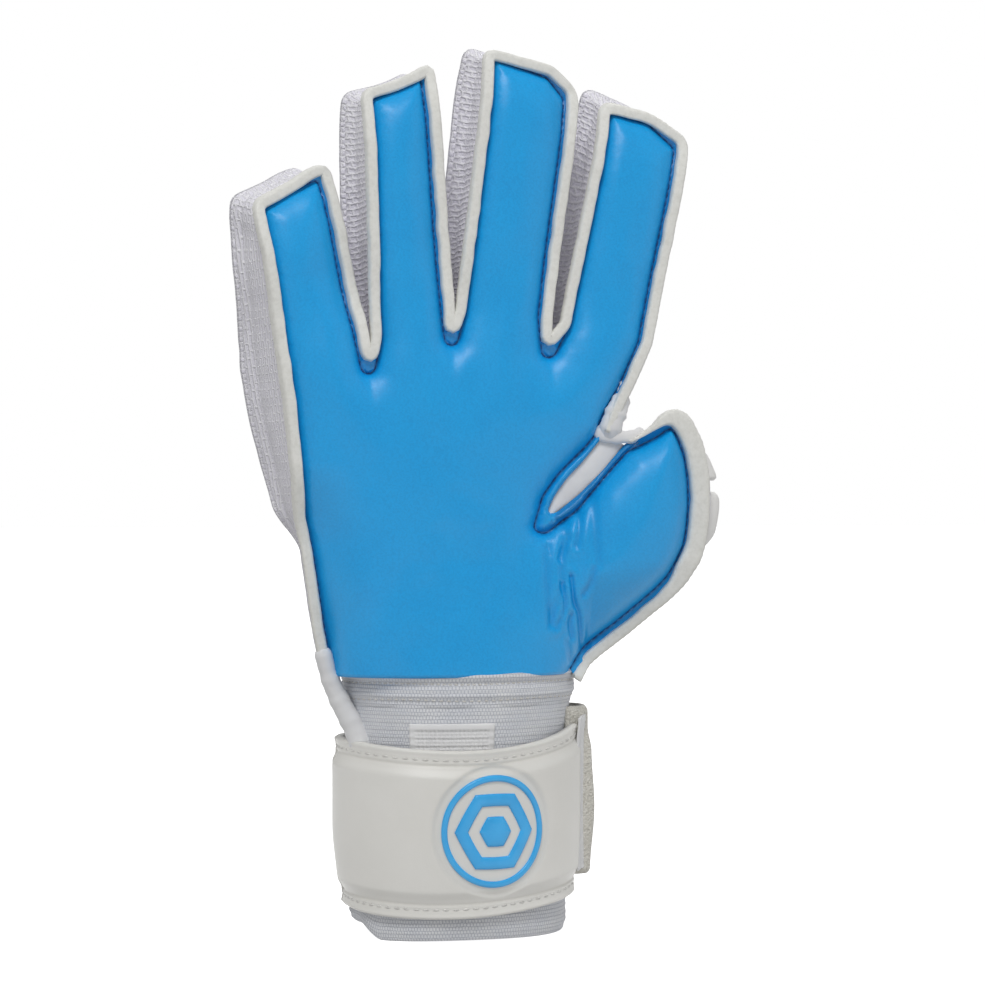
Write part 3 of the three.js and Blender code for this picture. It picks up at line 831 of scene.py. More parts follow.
def plan_mesh():
    """The hand's plan inside the rim path, triangulated, with its edges along every cut."""
    loop = RIM
    step = SPACING
    low, high = loop.min(axis=0), loop.max(axis=0)
    rows = np.arange(low[1] + 0.8, high[1], step * 0.87)
    across = np.arange(low[0], high[0], step)
    grid = np.array([(x + (k % 2) * step / 2, z) for k, z in enumerate(rows) for x in across])
    gap_rim, gap_seam = distance_to(loop, grid), distance_to(SEAM, grid)
    crease = np.array([SLIT_FOOT, CREASE_FOOT])
    folds = (np.abs(grid[:, 0] - 27.5) < 10.6) & (grid[:, 1] < 142.5)
    clear = (gap_rim > 0.9) & (gap_seam > 3.0) & (distance_to(crease, grid) > 0.8)
    grid = grid[inside(loop, grid) & clear & ~folds]
    stations = [station for finger in FINGERS for station in (finger.cut, finger.split)]
    grid = grid[np.min([np.abs(grid[:, 1] - station) for station in stations], axis=0) > 0.5]
    normals = outward(SEAM)
    rows_in = []
    for reach in (0.55, 1.2, 2.1):
        row = SEAM - normals * reach
        rows_in.append(row[(distance_to(SEAM, row) > reach * 0.92) & inside(loop, row)])
    row = SEAM + normals * 0.8
    rows_in.append(row[(distance_to(SEAM, row) > 0.7) & inside(loop, row) & (distance_to(loop, row) > 0.5)])
    heights = np.arange(PALM_BOTTOM + 2, 141, 0.8)
    fine = np.array([(x, z) for x in np.arange(17.5, 37.2, 0.52) for z in heights])
    far = distance_to(SEAM, fine)
    rows_in.append(fine[(far > 2.2) & inside(loop, fine) & (distance_to(crease, fine) > 0.5)])
    for reach in (0.5, 1.1, 1.9, 2.8):
        row = (RIM - RIM_OUT * reach)[IN_SLIT]
        clear = (distance_to(RIM, row) > reach * 0.9) & (distance_to(SEAM, row) > 0.9)
        rows_in.append(row[clear & inside(loop, row)])
    extra = np.vstack(rows_in)
    extra = extra[(extra[:, 1] > PALM_BOTTOM + 0.4)]
    bottom_x = np.arange(loop[-1][0] - step, loop[0][0] + step / 2, -step)
    bottom = np.stack([bottom_x, np.full(len(bottom_x), PALM_BOTTOM)], axis=1)
    boundary = np.vstack([loop, bottom])
    points = [Vector(p) for p in boundary]
    edges = [(i, (i + 1) % len(boundary)) for i in range(len(boundary))]

    def chain(line, closed_start=None, closed_end=None):
        first = len(points)
        points.extend(Vector(p) for p in line)
        ids = list(range(first, first + len(line)))
        if closed_start is not None:
            ids = [closed_start] + ids
        if closed_end is not None:
            ids = ids + [closed_end]
        edges.extend(zip(ids[:-1], ids[1:]))

    chain(SEAM[(SEAM[:, 1] > PALM_BOTTOM + 0.3)])
    for finger in FINGERS:
        for station in (finger.cut, finger.split):
            ends = [i for i in range(len(loop)) if abs(loop[i][1] - station) < 1e-6
                    and FINGERS[int(lane_of(loop[i][0], loop[i][1]))] is finger]
            left, right = min(ends, key=lambda i: loop[i][0]), max(ends, key=lambda i: loop[i][0])
            count = int((loop[right][0] - loop[left][0]) / step)
            xs = np.linspace(loop[left][0], loop[right][0], count + 1)[1:-1]
            chain([(x, station) for x in xs], left, right)
    foot = foot_index(loop)
    foot_bottom = len(loop) + int(np.argmin(np.abs(bottom[:, 0] - CREASE_FOOT[0])))
    line = np.linspace(loop[foot], boundary[foot_bottom], 28)[1:-1]
    chain(line, foot, foot_bottom)
    points.extend(Vector(p) for p in grid)
    points.extend(Vector(p) for p in extra)
    done = geometry.delaunay_2d_cdt(points, edges, [list(range(len(boundary)))], 1, 1e-4)
    flat = np.array([tuple(v) for v in done[0]])
    faces = np.array([f for f in done[2] if len(f) == 3])
    a, b, c = flat[faces[:, 0]], flat[faces[:, 1]], flat[faces[:, 2]]
    area = (b[:, 0] - a[:, 0]) * (c[:, 1] - a[:, 1]) - (b[:, 1] - a[:, 1]) * (c[:, 0] - a[:, 0])
    faces[area < 0] = faces[area < 0][:, ::-1]
    centre = (a + b + c) / 3
    along = line[-1] - line[0]
    side = (centre[:, 0] - line[0][0]) * along[1] - (centre[:, 1] - line[0][1]) * along[0]
    slit = np.array([SLIT_FOOT, (21.4, 136.6), (28.3, 145.6), (35.1, 152.4), (42.2, 160.2), (60.0, 176.0)])
    over = np.interp(centre[:, 0], slit[:, 0], slit[:, 1], left=0, right=200)
    top = np.where(centre[:, 0] > SLIT_FOOT[0], over, 0)
    in_thumb = (side < 0) & (centre[:, 1] < top) & (centre[:, 1] < 176)
    in_thumb |= (side < 0) & (centre[:, 1] < SLIT_FOOT[1])
    keys = [key_of(x, z, bool(t)) for (x, z), t in zip(centre, in_thumb)]
    real = np.abs(area) > 1e-7
    return flat, faces[real], [key for key, big in zip(keys, real) if big]


# the thumb's folds: points, depth and half width
CREASES = [
    ([(25.6, 132.7), (24.0, 122.9), (23.6, 113.2), (21.0, 105.4), (20.3, 100.2)], 0.6, 1.3),
    ([(26.6, 115.8), (27.6, 108.0), (29.6, 103.4), (31.0, 96.9), (32.3, 92.0)], 1.1, 0.7),
    ([(33.6, 117.7), (32.9, 113.2), (31.0, 109.8)], 0.8, 0.8),
    ([(27.2, 103.2), (26.6, 100.5), (27.6, 95.6)], 0.8, 0.8),
    ([(26.0, 94.3), (27.0, 91.4), (28.3, 88.5)], 0.7, 0.75),
    ([(35.0, 141.0), (34.3, 129.4), (35.0, 119.7)], 0.6, 1.6),
    ([(30.3, 136.0), (29.6, 130.7), (28.3, 125.5)], 0.8, 0.9),
    ([(26.3, 128.2), (23.0, 121.0)], 0.7, 0.8),
    ([(19.3, 124.9), (19.0, 113.2), (20.3, 100.2)], 0.7, 1.3),
    ([(23.6, 113.0), (24.6, 106.0), (22.0, 99.0)], 0.8, 0.7),
]


def latex_height(flat):
    """How far the latex stands out from the seam level and how deep its seams are, with the painted shade
    that darkens its seams, allowances and creases.
    """
    gap = distance_to(SEAM, flat)
    edge = distance_to(RIM, flat)
    within = within_seam(flat)
    x, z = flat[:, 0], flat[:, 1]
    low = smooth((PALM_BOTTOM + 34 - z) / 34)
    crown = mix(mix(4.2, 1.0, low), 1.7, smooth((z - 168) / 40))
    thumb = smooth((x - 26) / 16) * smooth((172 - z) / 10)
    crown = crown + 4.0 * thumb
    rise = -1.9 + 3.7 * (1 - np.exp(-gap / 1.9)) + crown * (1 - np.exp(-gap / mix(13, 9, thumb)))
    allowance = -1.9 + 2.9 * smooth(gap / 1.6)
    slit = (np.abs(x - 32) < 17) & (np.abs(z - 146 - (x - 32) * 1.1) < 13) & ~within
    allowance = allowance - np.where(slit, 2.4 * np.exp(-edge / 0.9), 0)
    height = np.where(within, rise, allowance)
    # painted shade on the seam allowance outside the seam: heaviest in the slit and at the thumb's top, light
    # on the slit's sunny side and low on the lower thumb
    sunny = slit & (z - 146 - (x - 32) * 1.15 > 0)
    shade = np.where(sunny, 0.10, np.where(slit, 0.62, 0.42))
    shade = np.where((x > 44) & (z > 150) & (z < 172) & (x < 65), 0.6, shade)
    shade = np.where((x > 24) & (z < 122), 0.08, shade)
    # painted shade in the valley along the seam
    valley = np.clip(1 - gap / 0.8, 0, 1) * 0.95
    valley = np.maximum(valley, np.where(within, 0, shade))
    for points, depth, width in CREASES:
        away = distance_to(through(points, 1.0), flat)
        height = height - depth * np.exp(-(away / width) ** 2)
        height = height + depth * 0.28 * np.exp(-((away - 2.4 * width) / (1.3 * width)) ** 2)
        # painted shade along the middle of each crease
        valley = np.maximum(valley, 0.24 * depth * np.exp(-(away / (0.8 * width)) ** 2))
    wrinkle = np.array([noise.noise((u / 9, w / 16, 3.1)) for u, w in flat])
    pucker = np.array([noise.noise((u / 3.2, w / 3.2, 7.7)) for u, w in flat])
    height = height + 0.6 * wrinkle * smooth(gap / 8) + 0.34 * pucker * np.exp(-gap / 2.5)
    for fork_x, fork_z in FORKS:
        below = fork_z - z
        height = height - 0.7 * np.exp(-((x - fork_x) / 1.9) ** 2 - ((below - 5) / 5.0) ** 2) * (below > 0)
    return height, np.clip(valley, 0, 1)


def inflated(verts, faces, held, pressure, reach):
    """Press a sheet from inside with the cloth solver while its seams are held; no point moves past reach."""
    mesh = bpy.data.meshes.new("pressed_sheet")
    mesh.from_pydata(metres(verts).tolist(), [], [tuple(map(int, face)) for face in faces])
    sheet = bpy.data.objects.new("pressed_sheet", mesh)
    bpy.context.scene.collection.objects.link(sheet)
    group = sheet.vertex_groups.new(name="held")
    for index, weight in enumerate(held):
        group.add([index], float(weight), "REPLACE")
    cloth = sheet.modifiers.new("cloth", "CLOTH")
    cloth.settings.quality = 6
    cloth.settings.mass = 0.2
    cloth.settings.tension_stiffness = 20
    cloth.settings.compression_stiffness = 20
    cloth.settings.shear_stiffness = 10
    cloth.settings.bending_stiffness = 2
    cloth.settings.use_pressure = True
    cloth.settings.uniform_pressure_force = pressure
    cloth.settings.vertex_group_mass = "held"
    cloth.settings.effector_weights.gravity = 0
    cloth.collision_settings.use_collision = False
    cloth.point_cache.frame_start = 1
    cloth.point_cache.frame_end = 20
    scene = bpy.context.scene
    for frame_number in range(1, 21):
        scene.frame_set(frame_number)
    pressed = sheet.evaluated_get(bpy.context.evaluated_depsgraph_get()).to_mesh()
    found = np.empty(len(verts) * 3)
    pressed.vertices.foreach_get("co", found)
    moved = (found.reshape(-1, 3) - metres(verts)) * 1000
    far = np.linalg.norm(moved, axis=1)[:, None]
    moved *= np.minimum(1.0, reach / np.maximum(far, 1e-9))
    bpy.data.objects.remove(sheet)
    bpy.data.meshes.remove(mesh)
    scene.frame_set(1)
    return verts + moved


def seam_hold(flat, height_share=1.3):
    """How firmly each point of a sheet is held: fully at its seams and free edges."""
    gap = np.minimum(distance_to(SEAM, flat), flat[:, 1] - PALM_BOTTOM)
    within = within_seam(flat)
    return np.where(within, 1 - smooth((gap - 0.4) / height_share), 1.0)


def make_lower_hems(plan, material):
    """The turned-in lower edge of the palm and of the back, over the top of the cuff."""
    flat = plan[0]
    bottom = flat[np.abs(flat[:, 1] - PALM_BOTTOM) < 1e-4]
    xs = np.sort(bottom[:, 0])
    flat = np.stack([xs, np.full(len(xs), PALM_BOTTOM)], axis=1)
    lane = lane_of(flat[:, 0], flat[:, 1])
    sides = ((-1, latex_height, "palm_lower_hem", "latex"), (1, back_height, "back_lower_hem", "foam"))
    for side, height_of, name, slot in sides:
        level = face_depth(flat[:, 0], flat[:, 1], lane) + height_of(flat)[0]
        rows = []
        for drop, inward in ((0.0, 0.0), (0.5, 0.12), (0.95, 0.55), (1.15, 1.3), (1.1, 3.2)):
            rows.append(placed(xs, side * (level - inward), np.full(len(xs), PALM_BOTTOM - drop)))
        faces = strip_faces(len(rows), len(xs), False)
        faces = faces if side > 0 else faces[:, ::-1]
        verts = np.concatenate(rows)
        # a light painted shade over the whole turned-in hem (valley 0.1)
        piece = make_mesh(f"hand_{name}", verts, faces, material[slot], None, np.full(len(verts), 0.1))
        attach(piece, "root")


def make_palm(plan, material):
    """The blue latex palm with its fingers and thumb."""
    flat, faces, keys = plan
    lane = lane_of(flat[:, 0], flat[:, 1])
    height, valley = latex_height(flat)
    depth = face_depth(flat[:, 0], flat[:, 1], lane) + height
    verts = inflated(placed(flat[:, 0], -depth, flat[:, 1]), faces, seam_hold(flat), 2.5, 1.2)
    pieces = split_by_key("palm_latex", verts, faces, keys, material, flat, valley)
    for key, piece in pieces.items():
        finger = finger_named(key)
        if key == "root":
            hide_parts("palm_latex")
        elif key == "thumb":
            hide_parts("thumb_palm_latex")
        elif key.endswith("lower"):
            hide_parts(f"{finger.name}_palm_latex_mid", f"{finger.name}_knuckle_fold")
        else:
            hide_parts(f"{finger.name}_palm_latex_tip", f"{finger.name}_joint_fold")
        follow(piece, key)


# ---- the foam back ----------------------------------------------------------------------------

def back_height(flat):
    """Raised blocks with sewn grooves between them, and painted shade in the seam valleys and grooves."""
    lane = lane_of(flat[:, 0], flat[:, 1])
    gap = distance_to(SEAM, flat)
    within = within_seam(flat)
    height = np.where(within, -1.6 + 3.0 * (1 - np.exp(-gap / 1.8)), -1.6 + 2.4 * smooth(gap / 1.8))
    low = smooth((PALM_BOTTOM + 30 - flat[:, 1]) / 30)
    height = height + mix(2.2, 0.6, low) * (1 - np.exp(-gap / 12))
    groove = np.full(len(flat), 1e9)
    for i, finger in enumerate(FINGERS):
        top = min(corner[1] for corner in finger.tip)
        here = (lane == i) & (flat[:, 1] > 172)
        local = flat[:, 1] - (flat[:, 0] - finger.centre(flat[:, 1])) * finger.slope
        below_joint, above_joint = (finger.cut + finger.split) / 2 + 2, (finger.joint + top) / 2 + 5
        for z in (finger.cut - 8, below_joint, finger.joint - 3, above_joint):
            bow = z + ((flat[:, 0] - finger.centre(flat[:, 1])) / finger.half(z)) ** 2 * 3
            groove = np.where(here, np.minimum(groove, np.abs(local - bow)), groove)
    palm = flat[:, 1] < 182
    centre, reach = np.array([-9.0, 140.0]), np.array([37.0, 31.0])
    ring = np.abs(np.linalg.norm((flat - centre) / reach, axis=1) - 1) * 33
    groove = np.where(palm, np.minimum(groove, ring), groove)
    for slant in (-17.0, 0.0, 17.0):
        line = np.abs((flat[:, 0] - centre[0] - slant) - (flat[:, 1] - centre[1]) * 0.10 * np.sign(slant))
        inner = np.linalg.norm((flat - centre) / reach, axis=1) < 1
        groove = np.where(palm & inner, np.minimum(groove, line), groove)
    cut = np.exp(-(groove / 1.1) ** 2)
    height = height - 1.9 * cut
    # the second value is painted shade: darkest in the seam valley and along the grooves
    return height, np.clip(np.clip(1 - gap / 0.8, 0, 1) + 0.8 * cut, 0, 1)


def make_back(plan, material):
    """The foam back with its fingers and thumb."""
    flat, faces, keys = plan
    lane = lane_of(flat[:, 0], flat[:, 1])
    height, valley = back_height(flat)
    depth = face_depth(flat[:, 0], flat[:, 1], lane) + height
    held = np.maximum(seam_hold(flat), valley)
    verts = inflated(placed(flat[:, 0], depth, flat[:, 1]), faces[:, ::-1], held, 3.0, 1.4)
    pieces = split_by_key("back_foam", verts, faces[:, ::-1], keys, material, flat, valley)
    for key, piece in pieces.items():
        finger = finger_named(key)
        if key == "root":
            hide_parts("back_foam", "back_pad")
        elif key == "thumb":
            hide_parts("thumb_back_foam")
        elif key.endswith("lower"):
            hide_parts(f"{finger.name}_back_foam_mid")
        else:
            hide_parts(f"{finger.name}_back_foam_tip")
        follow(piece, key)


# ---- strips along the rim: side walls and cut edges --------------------------------------------


def strip_faces(rows, columns, closed):
    """Quads of a strip of rows of points; closed joins the last column to the first."""
    faces = []
    for i in range(rows - 1):
        for j in range(columns if closed else columns - 1):
            k = (j + 1) % columns
            faces.append((i * columns + j, i * columns + k, (i + 1) * columns + k, (i + 1) * columns + j))
    return np.array(faces)


def rim_level():
    """Depth of the rim at each of its rows."""
    lane = lane_of(RIM[:, 0], RIM[:, 1])
    return face_depth(RIM[:, 0], RIM[:, 1], lane)


def keyed_faces(columns, closed):
    faces = strip_faces(len(RIM), columns, closed)
    per_row = columns if closed else columns - 1
    keys = [None] * (len(RIM) - 1)
    for key, start, end in RUNS:
        keys[start:end] = [key] * (end - start)
    return faces, [keys[i // per_row] for i in range(len(faces))]


def wall_rows():
    """Which rows of the wall run along the hand's ulnar side."""
    return (np.arange(len(RIM)) < len(RIM) / 4) & (RIM[:, 1] < 229) & (RIM[:, 0] < -40)


def make_walls(material):
    """The side walls between palm and back, one long strip round every finger, rolled over at the back."""
    level = rim_level()
    share = np.concatenate([np.linspace(-1, 0.80, 17), [0.87, 0.93, 0.97, 1.0]])
    first_quarter = np.arange(len(RIM)) < len(RIM) / 4
    ulnar = smooth((-RIM[:, 0] - 48) / 10) * smooth((RIM[:, 1] - 120) / 30) * first_quarter
    verts, cloth = [], []
    lengthwise = wall_rows()
    turned_in = np.sqrt(np.clip(1 - (np.clip(share - 0.74, 0, 1) / 0.27) ** 2, 0, 1))
    roll = 2.0 * smooth((share - 0.45) / 0.25) * turned_in
    for i, ((x, z), (nx, nz)) in enumerate(zip(RIM, RIM_OUT)):
        s = RIM_LENGTH[i]
        bulge = -1.7 + 0.7 * (1 - share ** 2) + roll + 1.8 * ulnar[i] * (1 - share ** 2)
        fold = -0.9 * bell(share, 0.36, 0.14) * (0.6 + 0.5 * noise.noise((s / 15, 2.2, 0)))
        ripple = np.array([noise.noise((s / 7, t * 1.5, 1.3)) for t in share]) * 0.5 * (1 - share ** 2)
        reach = bulge + ripple + fold
        y = share * (level[i] + 0.4) + (0.6 + 2.4 * IN_SLIT[i]) * (share < -0.9)
        verts.append(placed(x + nx * reach, y, z + nz * reach))
        along = np.full(len(share), s)
        cloth.append(np.stack([y, along], axis=1))
    faces, keys = keyed_faces(len(share), False)
    pieces = split_by_key("side_wall", np.concatenate(verts), faces[:, ::-1], keys, material,
                          np.concatenate(cloth), np.repeat(lengthwise.astype(float), len(share)))
    for key, piece in pieces.items():
        finger = finger_named(key)
        if key == "root":
            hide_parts("ulnar_gusset", "radial_gusset", "fork_gusset_little_ring",
                        "fork_gusset_ring_middle", "fork_gusset_middle_index")
        elif key == "thumb":
            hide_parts("thumb_outer_gusset", "thumb_slit_gusset")
        elif key.endswith("lower"):
            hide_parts(f"{finger.name}_gusset_ulnar_side", f"{finger.name}_gusset_thumb_side")
        else:
            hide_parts(f"{finger.name}_gusset_tip")
        follow(piece, key)


def rim_width():
    """Half the width of the palm's cut edge at each row: widest round the thumb."""
    x, z = RIM[:, 0], RIM[:, 1]
    thumb = (np.arange(len(RIM)) > FOOT) & (z > 86)
    top = mix(0.75, 3.2, smooth((x - 53) / 11))
    outer = mix(1.9, 3.2, smooth((z - 104) / 18))
    width = np.where(thumb, np.where(z > 142, top, outer), 1.75)
    hidden = np.flatnonzero(IN_SLIT)
    rows = np.arange(len(RIM))
    apart = np.maximum(hidden[0] - rows, rows - hidden[-1])
    return width * mix(0.55, 1.0, smooth(apart / 8))


def make_rim(material, side):
    """The edge outside the seam: cut foam on the palm (side -1), rolled cloth on the back (side 1)."""
    level = rim_level()
    width = rim_width()
    columns = 14
    angle = np.arange(columns) * 2 * math.pi / columns
    cos, sin = np.cos(angle), np.sin(angle)
    square_cos = np.sign(cos) * np.abs(cos) ** 0.5
    square_sin = np.sign(sin) * np.abs(sin) ** 0.6
    verts, cloth, skip = [], [], []
    for i, ((x, z), (nx, nz)) in enumerate(zip(RIM, RIM_OUT)):
        s = RIM_LENGTH[i]
        scallop = 0.16 * abs(math.sin(s * math.pi / 2.2))
        uneven = 1 + 0.09 * noise.noise((s / 6.0, 11.0 * side, 0.2))
        if side < 0:
            wander = 0.25 * noise.noise((s / 6.0, 1.0, 8.0))
            a = square_cos * width[i] * uneven + scallop * (cos > 0.2) + wander
            b = square_sin * 2.2 * (1 + 0.08 * noise.noise((s / 4.0, 5.0, side)))
            y = -(level[i] + 0.1) + b
        else:
            a = cos * 2.0 * uneven - 0.2
            b = sin * 2.0
            y = level[i] - 0.6 + b
        verts.append(placed(x + nx * a, y, z + nz * a))
        cloth.append(np.stack([angle * 2, np.full(columns, s)], axis=1))
        skip.append(bool(IN_SLIT[i]) and side < 0)
    faces, keys = keyed_faces(columns, True)
    rows = np.arange(len(faces)) // columns
    shown = np.array([not (skip[row] and skip[row + 1]) for row in rows])
    faces, keys = faces[shown].tolist(), [key for key, on in zip(keys, shown) if on]
    last = len(RIM) - 1
    ends = [(0, "root", False), (last, "thumb", True)]
    if any(skip):
        hidden = [row for row in range(last) if skip[row]]
        ends += [(hidden[0], "root", True), (hidden[-1], "thumb", False)]
    for row, key, forward in ends:
        for k in range(1, columns - 1, 2):
            quad = [row * columns + n for n in (0, k, k + 1, (k + 2) % columns)]
            if k + 2 < columns:
                faces.append(quad if forward else quad[::-1])
                keys.append(key)
    label = "palm_cut_edge" if side < 0 else "back_rolled_edge"
    pieces = split_by_key(label, np.concatenate(verts), faces, keys, material, np.concatenate(cloth))
    for key, piece in pieces.items():
        follow(piece, key)


def make_thumb_pads(material):
    """Two firm pads along the outer edge of the thumb's back."""
    level = rim_level()
    columns = 18
    angle = np.arange(columns) * 2 * math.pi / columns
    across = np.sign(np.cos(angle)) * np.abs(np.cos(angle)) ** 0.55
    thick = np.sign(np.sin(angle)) * np.abs(np.sin(angle)) ** 0.7
    for name, low, high, half in (("upper", 146.5, 163.5, 6.4), ("lower", 116.0, 143.5, 8.6)):
        rows = [i for i in range(FOOT, len(RIM)) if low < RIM[i, 1] < high and RIM[i, 0] > 56]
        verts = []
        for n, i in enumerate(rows):
            end = min(n, len(rows) - 1 - n)
            swell = math.sqrt(1 - max(1 - (end + 0.35) / 3.0, 0) ** 2)
            a = 5.2 - half + across * (half * (0.72 + 0.28 * swell)) + 0.3 * math.sin(RIM_LENGTH[i] / 3)
            y = level[i] + 1.4 + thick * 3.6 * swell
            x, z = RIM[i]
            nx, nz = RIM_OUT[i]
            verts.append(placed(x + nx * a, y, z + nz * a))
        faces = strip_faces(len(rows), columns, True).tolist()
        for row, forward in ((0, False), (len(rows) - 1, True)):
            for k in range(1, columns - 2, 2):
                quad = [row * columns + m for m in (0, k, k + 1, k + 2)]
                faces.append(quad if forward else quad[::-1])
        piece = make_mesh(f"thumb_back_pad_{name}", np.concatenate(verts), faces, material)
        weld(piece)
        if name == "upper":
            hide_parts("thumb_back_pad")
        follow(piece, "thumb")


def make_overlock(material):
    """White thread loops that hold the mesh to the outer edge of the cut foam."""
    level = rim_level()
    width = rim_width()
    groups = {}
    for key, start, end in RUNS:
        for at in np.arange(RIM_LENGTH[start] + 0.6, RIM_LENGTH[end] - 0.4, 1.5):
            i = int(np.searchsorted(RIM_LENGTH, at))
            if IN_SLIT[i]:
                continue
            x, z = (float(np.interp(at, RIM_LENGTH, RIM[:, k])) for k in range(2))
            nx, nz = RIM_OUT[i]
            reach = width[i] + 0.05
            inner = placed(x + nx * (reach - 0.9), -(level[i] + 1.2), z + nz * (reach - 0.9))
            outer = placed(x + nx * (reach - 0.1), -(level[i] - 1.4), z + nz * (reach - 0.1))
            along = outer - inner
            length = np.linalg.norm(along)
            up = np.array([nx, -0.8, nz])
            along = along / length
            up = up - along * (up @ along)
            groups.setdefault(key, []).append(((inner + outer) / 2, along, up / np.linalg.norm(up), length))
    for key, found in groups.items():
        centres, alongs, ups, lengths = zip(*found)
        verts, faces = stitch_mesh(centres, alongs, ups, float(np.mean(lengths)), 0.22)
        label = "hand" if key == "root" else key
        piece = make_mesh(f"{label}_overlock", verts, faces, material)
        follow(piece, key)


def make_web(material):
    """The white sheet inside the slit, and the rolled edge of mesh across its open end."""
    left = through(SLIT_OPENING[4::-1], 1.2)
    right = through(SLIT_OPENING[5:], 1.2)
    count = 30
    along = np.linspace(0, 1, count)

    def sampled(path):
        length = run_of(path)
        return np.stack([np.interp(along * length[-1], length, path[:, k]) for k in range(2)], axis=1)

    left, right = sampled(left), sampled(right)
    across = np.linspace(-0.45, 1.45, 14)
    verts = []
    for a, b in zip(left, right):
        for t in across:
            x, z = mix(a, b, t)
            y = -15.7 + 0.5 * (2 * t - 1) ** 2 + 0.25 * noise.noise((x / 4, z / 4, 2.0))
            verts.append((x, y, z))
    faces = strip_faces(count, len(across), False)
    web = make_mesh("slit_web", np.array(verts), faces[:, ::-1], material)
    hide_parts("thumb_web")
    route = through([(37.6, -15.6, 162.0), (40.2, -16.4, 160.6), (43.9, -16.8, 160.4), (47.6, -16.8, 160.4),
                     (51.0, -16.0, 161.8)], 0.9)

    def thinning(t):
        return 2.5 + 0.2 * math.sin(t * 19) - 0.6 * t

    roll = tube("slit_web_rolled_edge", route, thinning, material, flat=0.6)
    route = through([(46.2, -14.6, 177.6), (44.6, -15.8, 172.4), (42.6, -16.6, 168.0), (41.2, -16.8, 164.4),
                     (40.6, -16.4, 161.8)], 0.7)

    def fullness(t):
        return 2.0 + 1.6 * smooth(t / 0.6) + 0.22 * math.sin(t * 23) + 0.16 * math.sin(t * 41 + 1)

    lump = tube("slit_web_folded_end", route, fullness, material, flat=0.7)
    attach(lump, "root")
    for piece in (web, roll):
        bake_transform(piece)


# ---- stitches ---------------------------------------------------------------------------------

def stitch_mesh(centres, tangents, ups, length, radius):
    """Small rounded thread lengths as one list of points and faces."""
    verts, faces = [], []
    rings = [(-0.5, 0.35), (-0.38, 0.85), (0.0, 1.0), (0.38, 0.85), (0.5, 0.35)]
    sides = 6
    for centre, along, up in zip(centres, tangents, ups):
        across = np.cross(along, up)
        first = len(verts)
        for t, r in rings:
            for k in range(sides):
                a = 2 * math.pi * k / sides
                sag = -radius * 0.9 * (2 * t) ** 2
                verts.append(centre + along * t * length + up * (math.sin(a) * radius * r + sag)
                             + across * math.cos(a) * radius * r)
        for i in range(len(rings) - 1):
            for k in range(sides):
                n = (k + 1) % sides
                faces.append([first + i * sides + k, first + i * sides + n,
                              first + (i + 1) * sides + n, first + (i + 1) * sides + k])
        last = first + (len(rings) - 1) * sides
        faces.append([first, first + 1, first + 2, first + 3])
        faces.append([first, first + 3, first + 4, first + 5])
        faces.append([last + 3, last + 2, last + 1, last])
        faces.append([last + 5, last + 4, last + 3, last])
    return verts, faces


def make_seam_stitches(material):
    """The dark running stitch in the valley of the palm's seam."""
    length = run_of(SEAM)
    foot = foot_index(SEAM)
    pitch = 2.7
    groups = {}
    for at in np.arange(2.0, length[-1] - 2.0, pitch):
        index = int(np.searchsorted(length, at))
        x, z = (np.interp(at, length, SEAM[:, k]) for k in range(2))
        lane = lane_of(np.array([x]), np.array([z]))
        level = float(face_depth(np.array([x]), np.array([z]), lane)[0])
        ahead = [float(np.interp(at + 0.6, length, SEAM[:, k])) for k in range(2)]
        y = -(level - 1.55)
        here = placed(x, y, z)
        along = placed(ahead[0], y, ahead[1]) - here
        along = along / np.linalg.norm(along)
        up = placed(x, y - 1, z) - here
        key = key_of(x, z, index >= foot)
        groups.setdefault(key, []).append((here, along, up / np.linalg.norm(up)))
    for key, found in groups.items():
        verts, faces = stitch_mesh(*zip(*found), 2.0, 0.34)
        label = "hand" if key == "root" else key
        piece = make_mesh(f"{label}_seam_stitches", verts, faces, material)
        follow(piece, key)


# ---- the wrist --------------------------------------------------------------------------------

def oval(angle, out):
    """Points of the wrist's oval; angle in degrees, 0 is +X and -90 the palm side."""
    a = np.radians(angle)
    return WRIST_X + (WRIST_HALF_WIDTH + out) * np.cos(a), (WRIST_HALF_DEPTH + out) * np.sin(a)


def oval_arc(angle):
    """Length along the oval from angle 0, near enough for a cloth's own coordinates."""
    return np.radians(angle) * (WRIST_HALF_WIDTH + WRIST_HALF_DEPTH) / 2


def slab(name, A, Z, outer, inner, material):
    """A closed curved slab over a grid of angles and heights, between two distances out from the cuff."""
    rows, columns = Z.shape
    x, y = oval(A, outer)
    xi, yi = oval(A, inner)
    outside, inner_side = np.stack([x, y, Z], axis=-1), np.stack([xi, yi, Z], axis=-1)
    verts = np.vstack([outside.reshape(-1, 3), inner_side.reshape(-1, 3)])
    faces = strip_faces(rows, columns, False)
    count = rows * columns
    border = list(range(columns))
    border += [i * columns + columns - 1 for i in range(1, rows)]
    border += [(rows - 1) * columns + j for j in range(columns - 2, -1, -1)]
    border += [i * columns for i in range(rows - 2, 0, -1)]
    rim = [(b, a, a + count, b + count) for a, b in zip(border, border[1:] + border[:1])]
    cloth = np.stack([oval_arc(A), Z], axis=-1).reshape(-1, 2)
    faces = np.vstack([faces, faces[:, ::-1] + count, rim])
    made = make_mesh(name, verts, faces, material, np.vstack([cloth, cloth]))
    made.data.update()
    return made


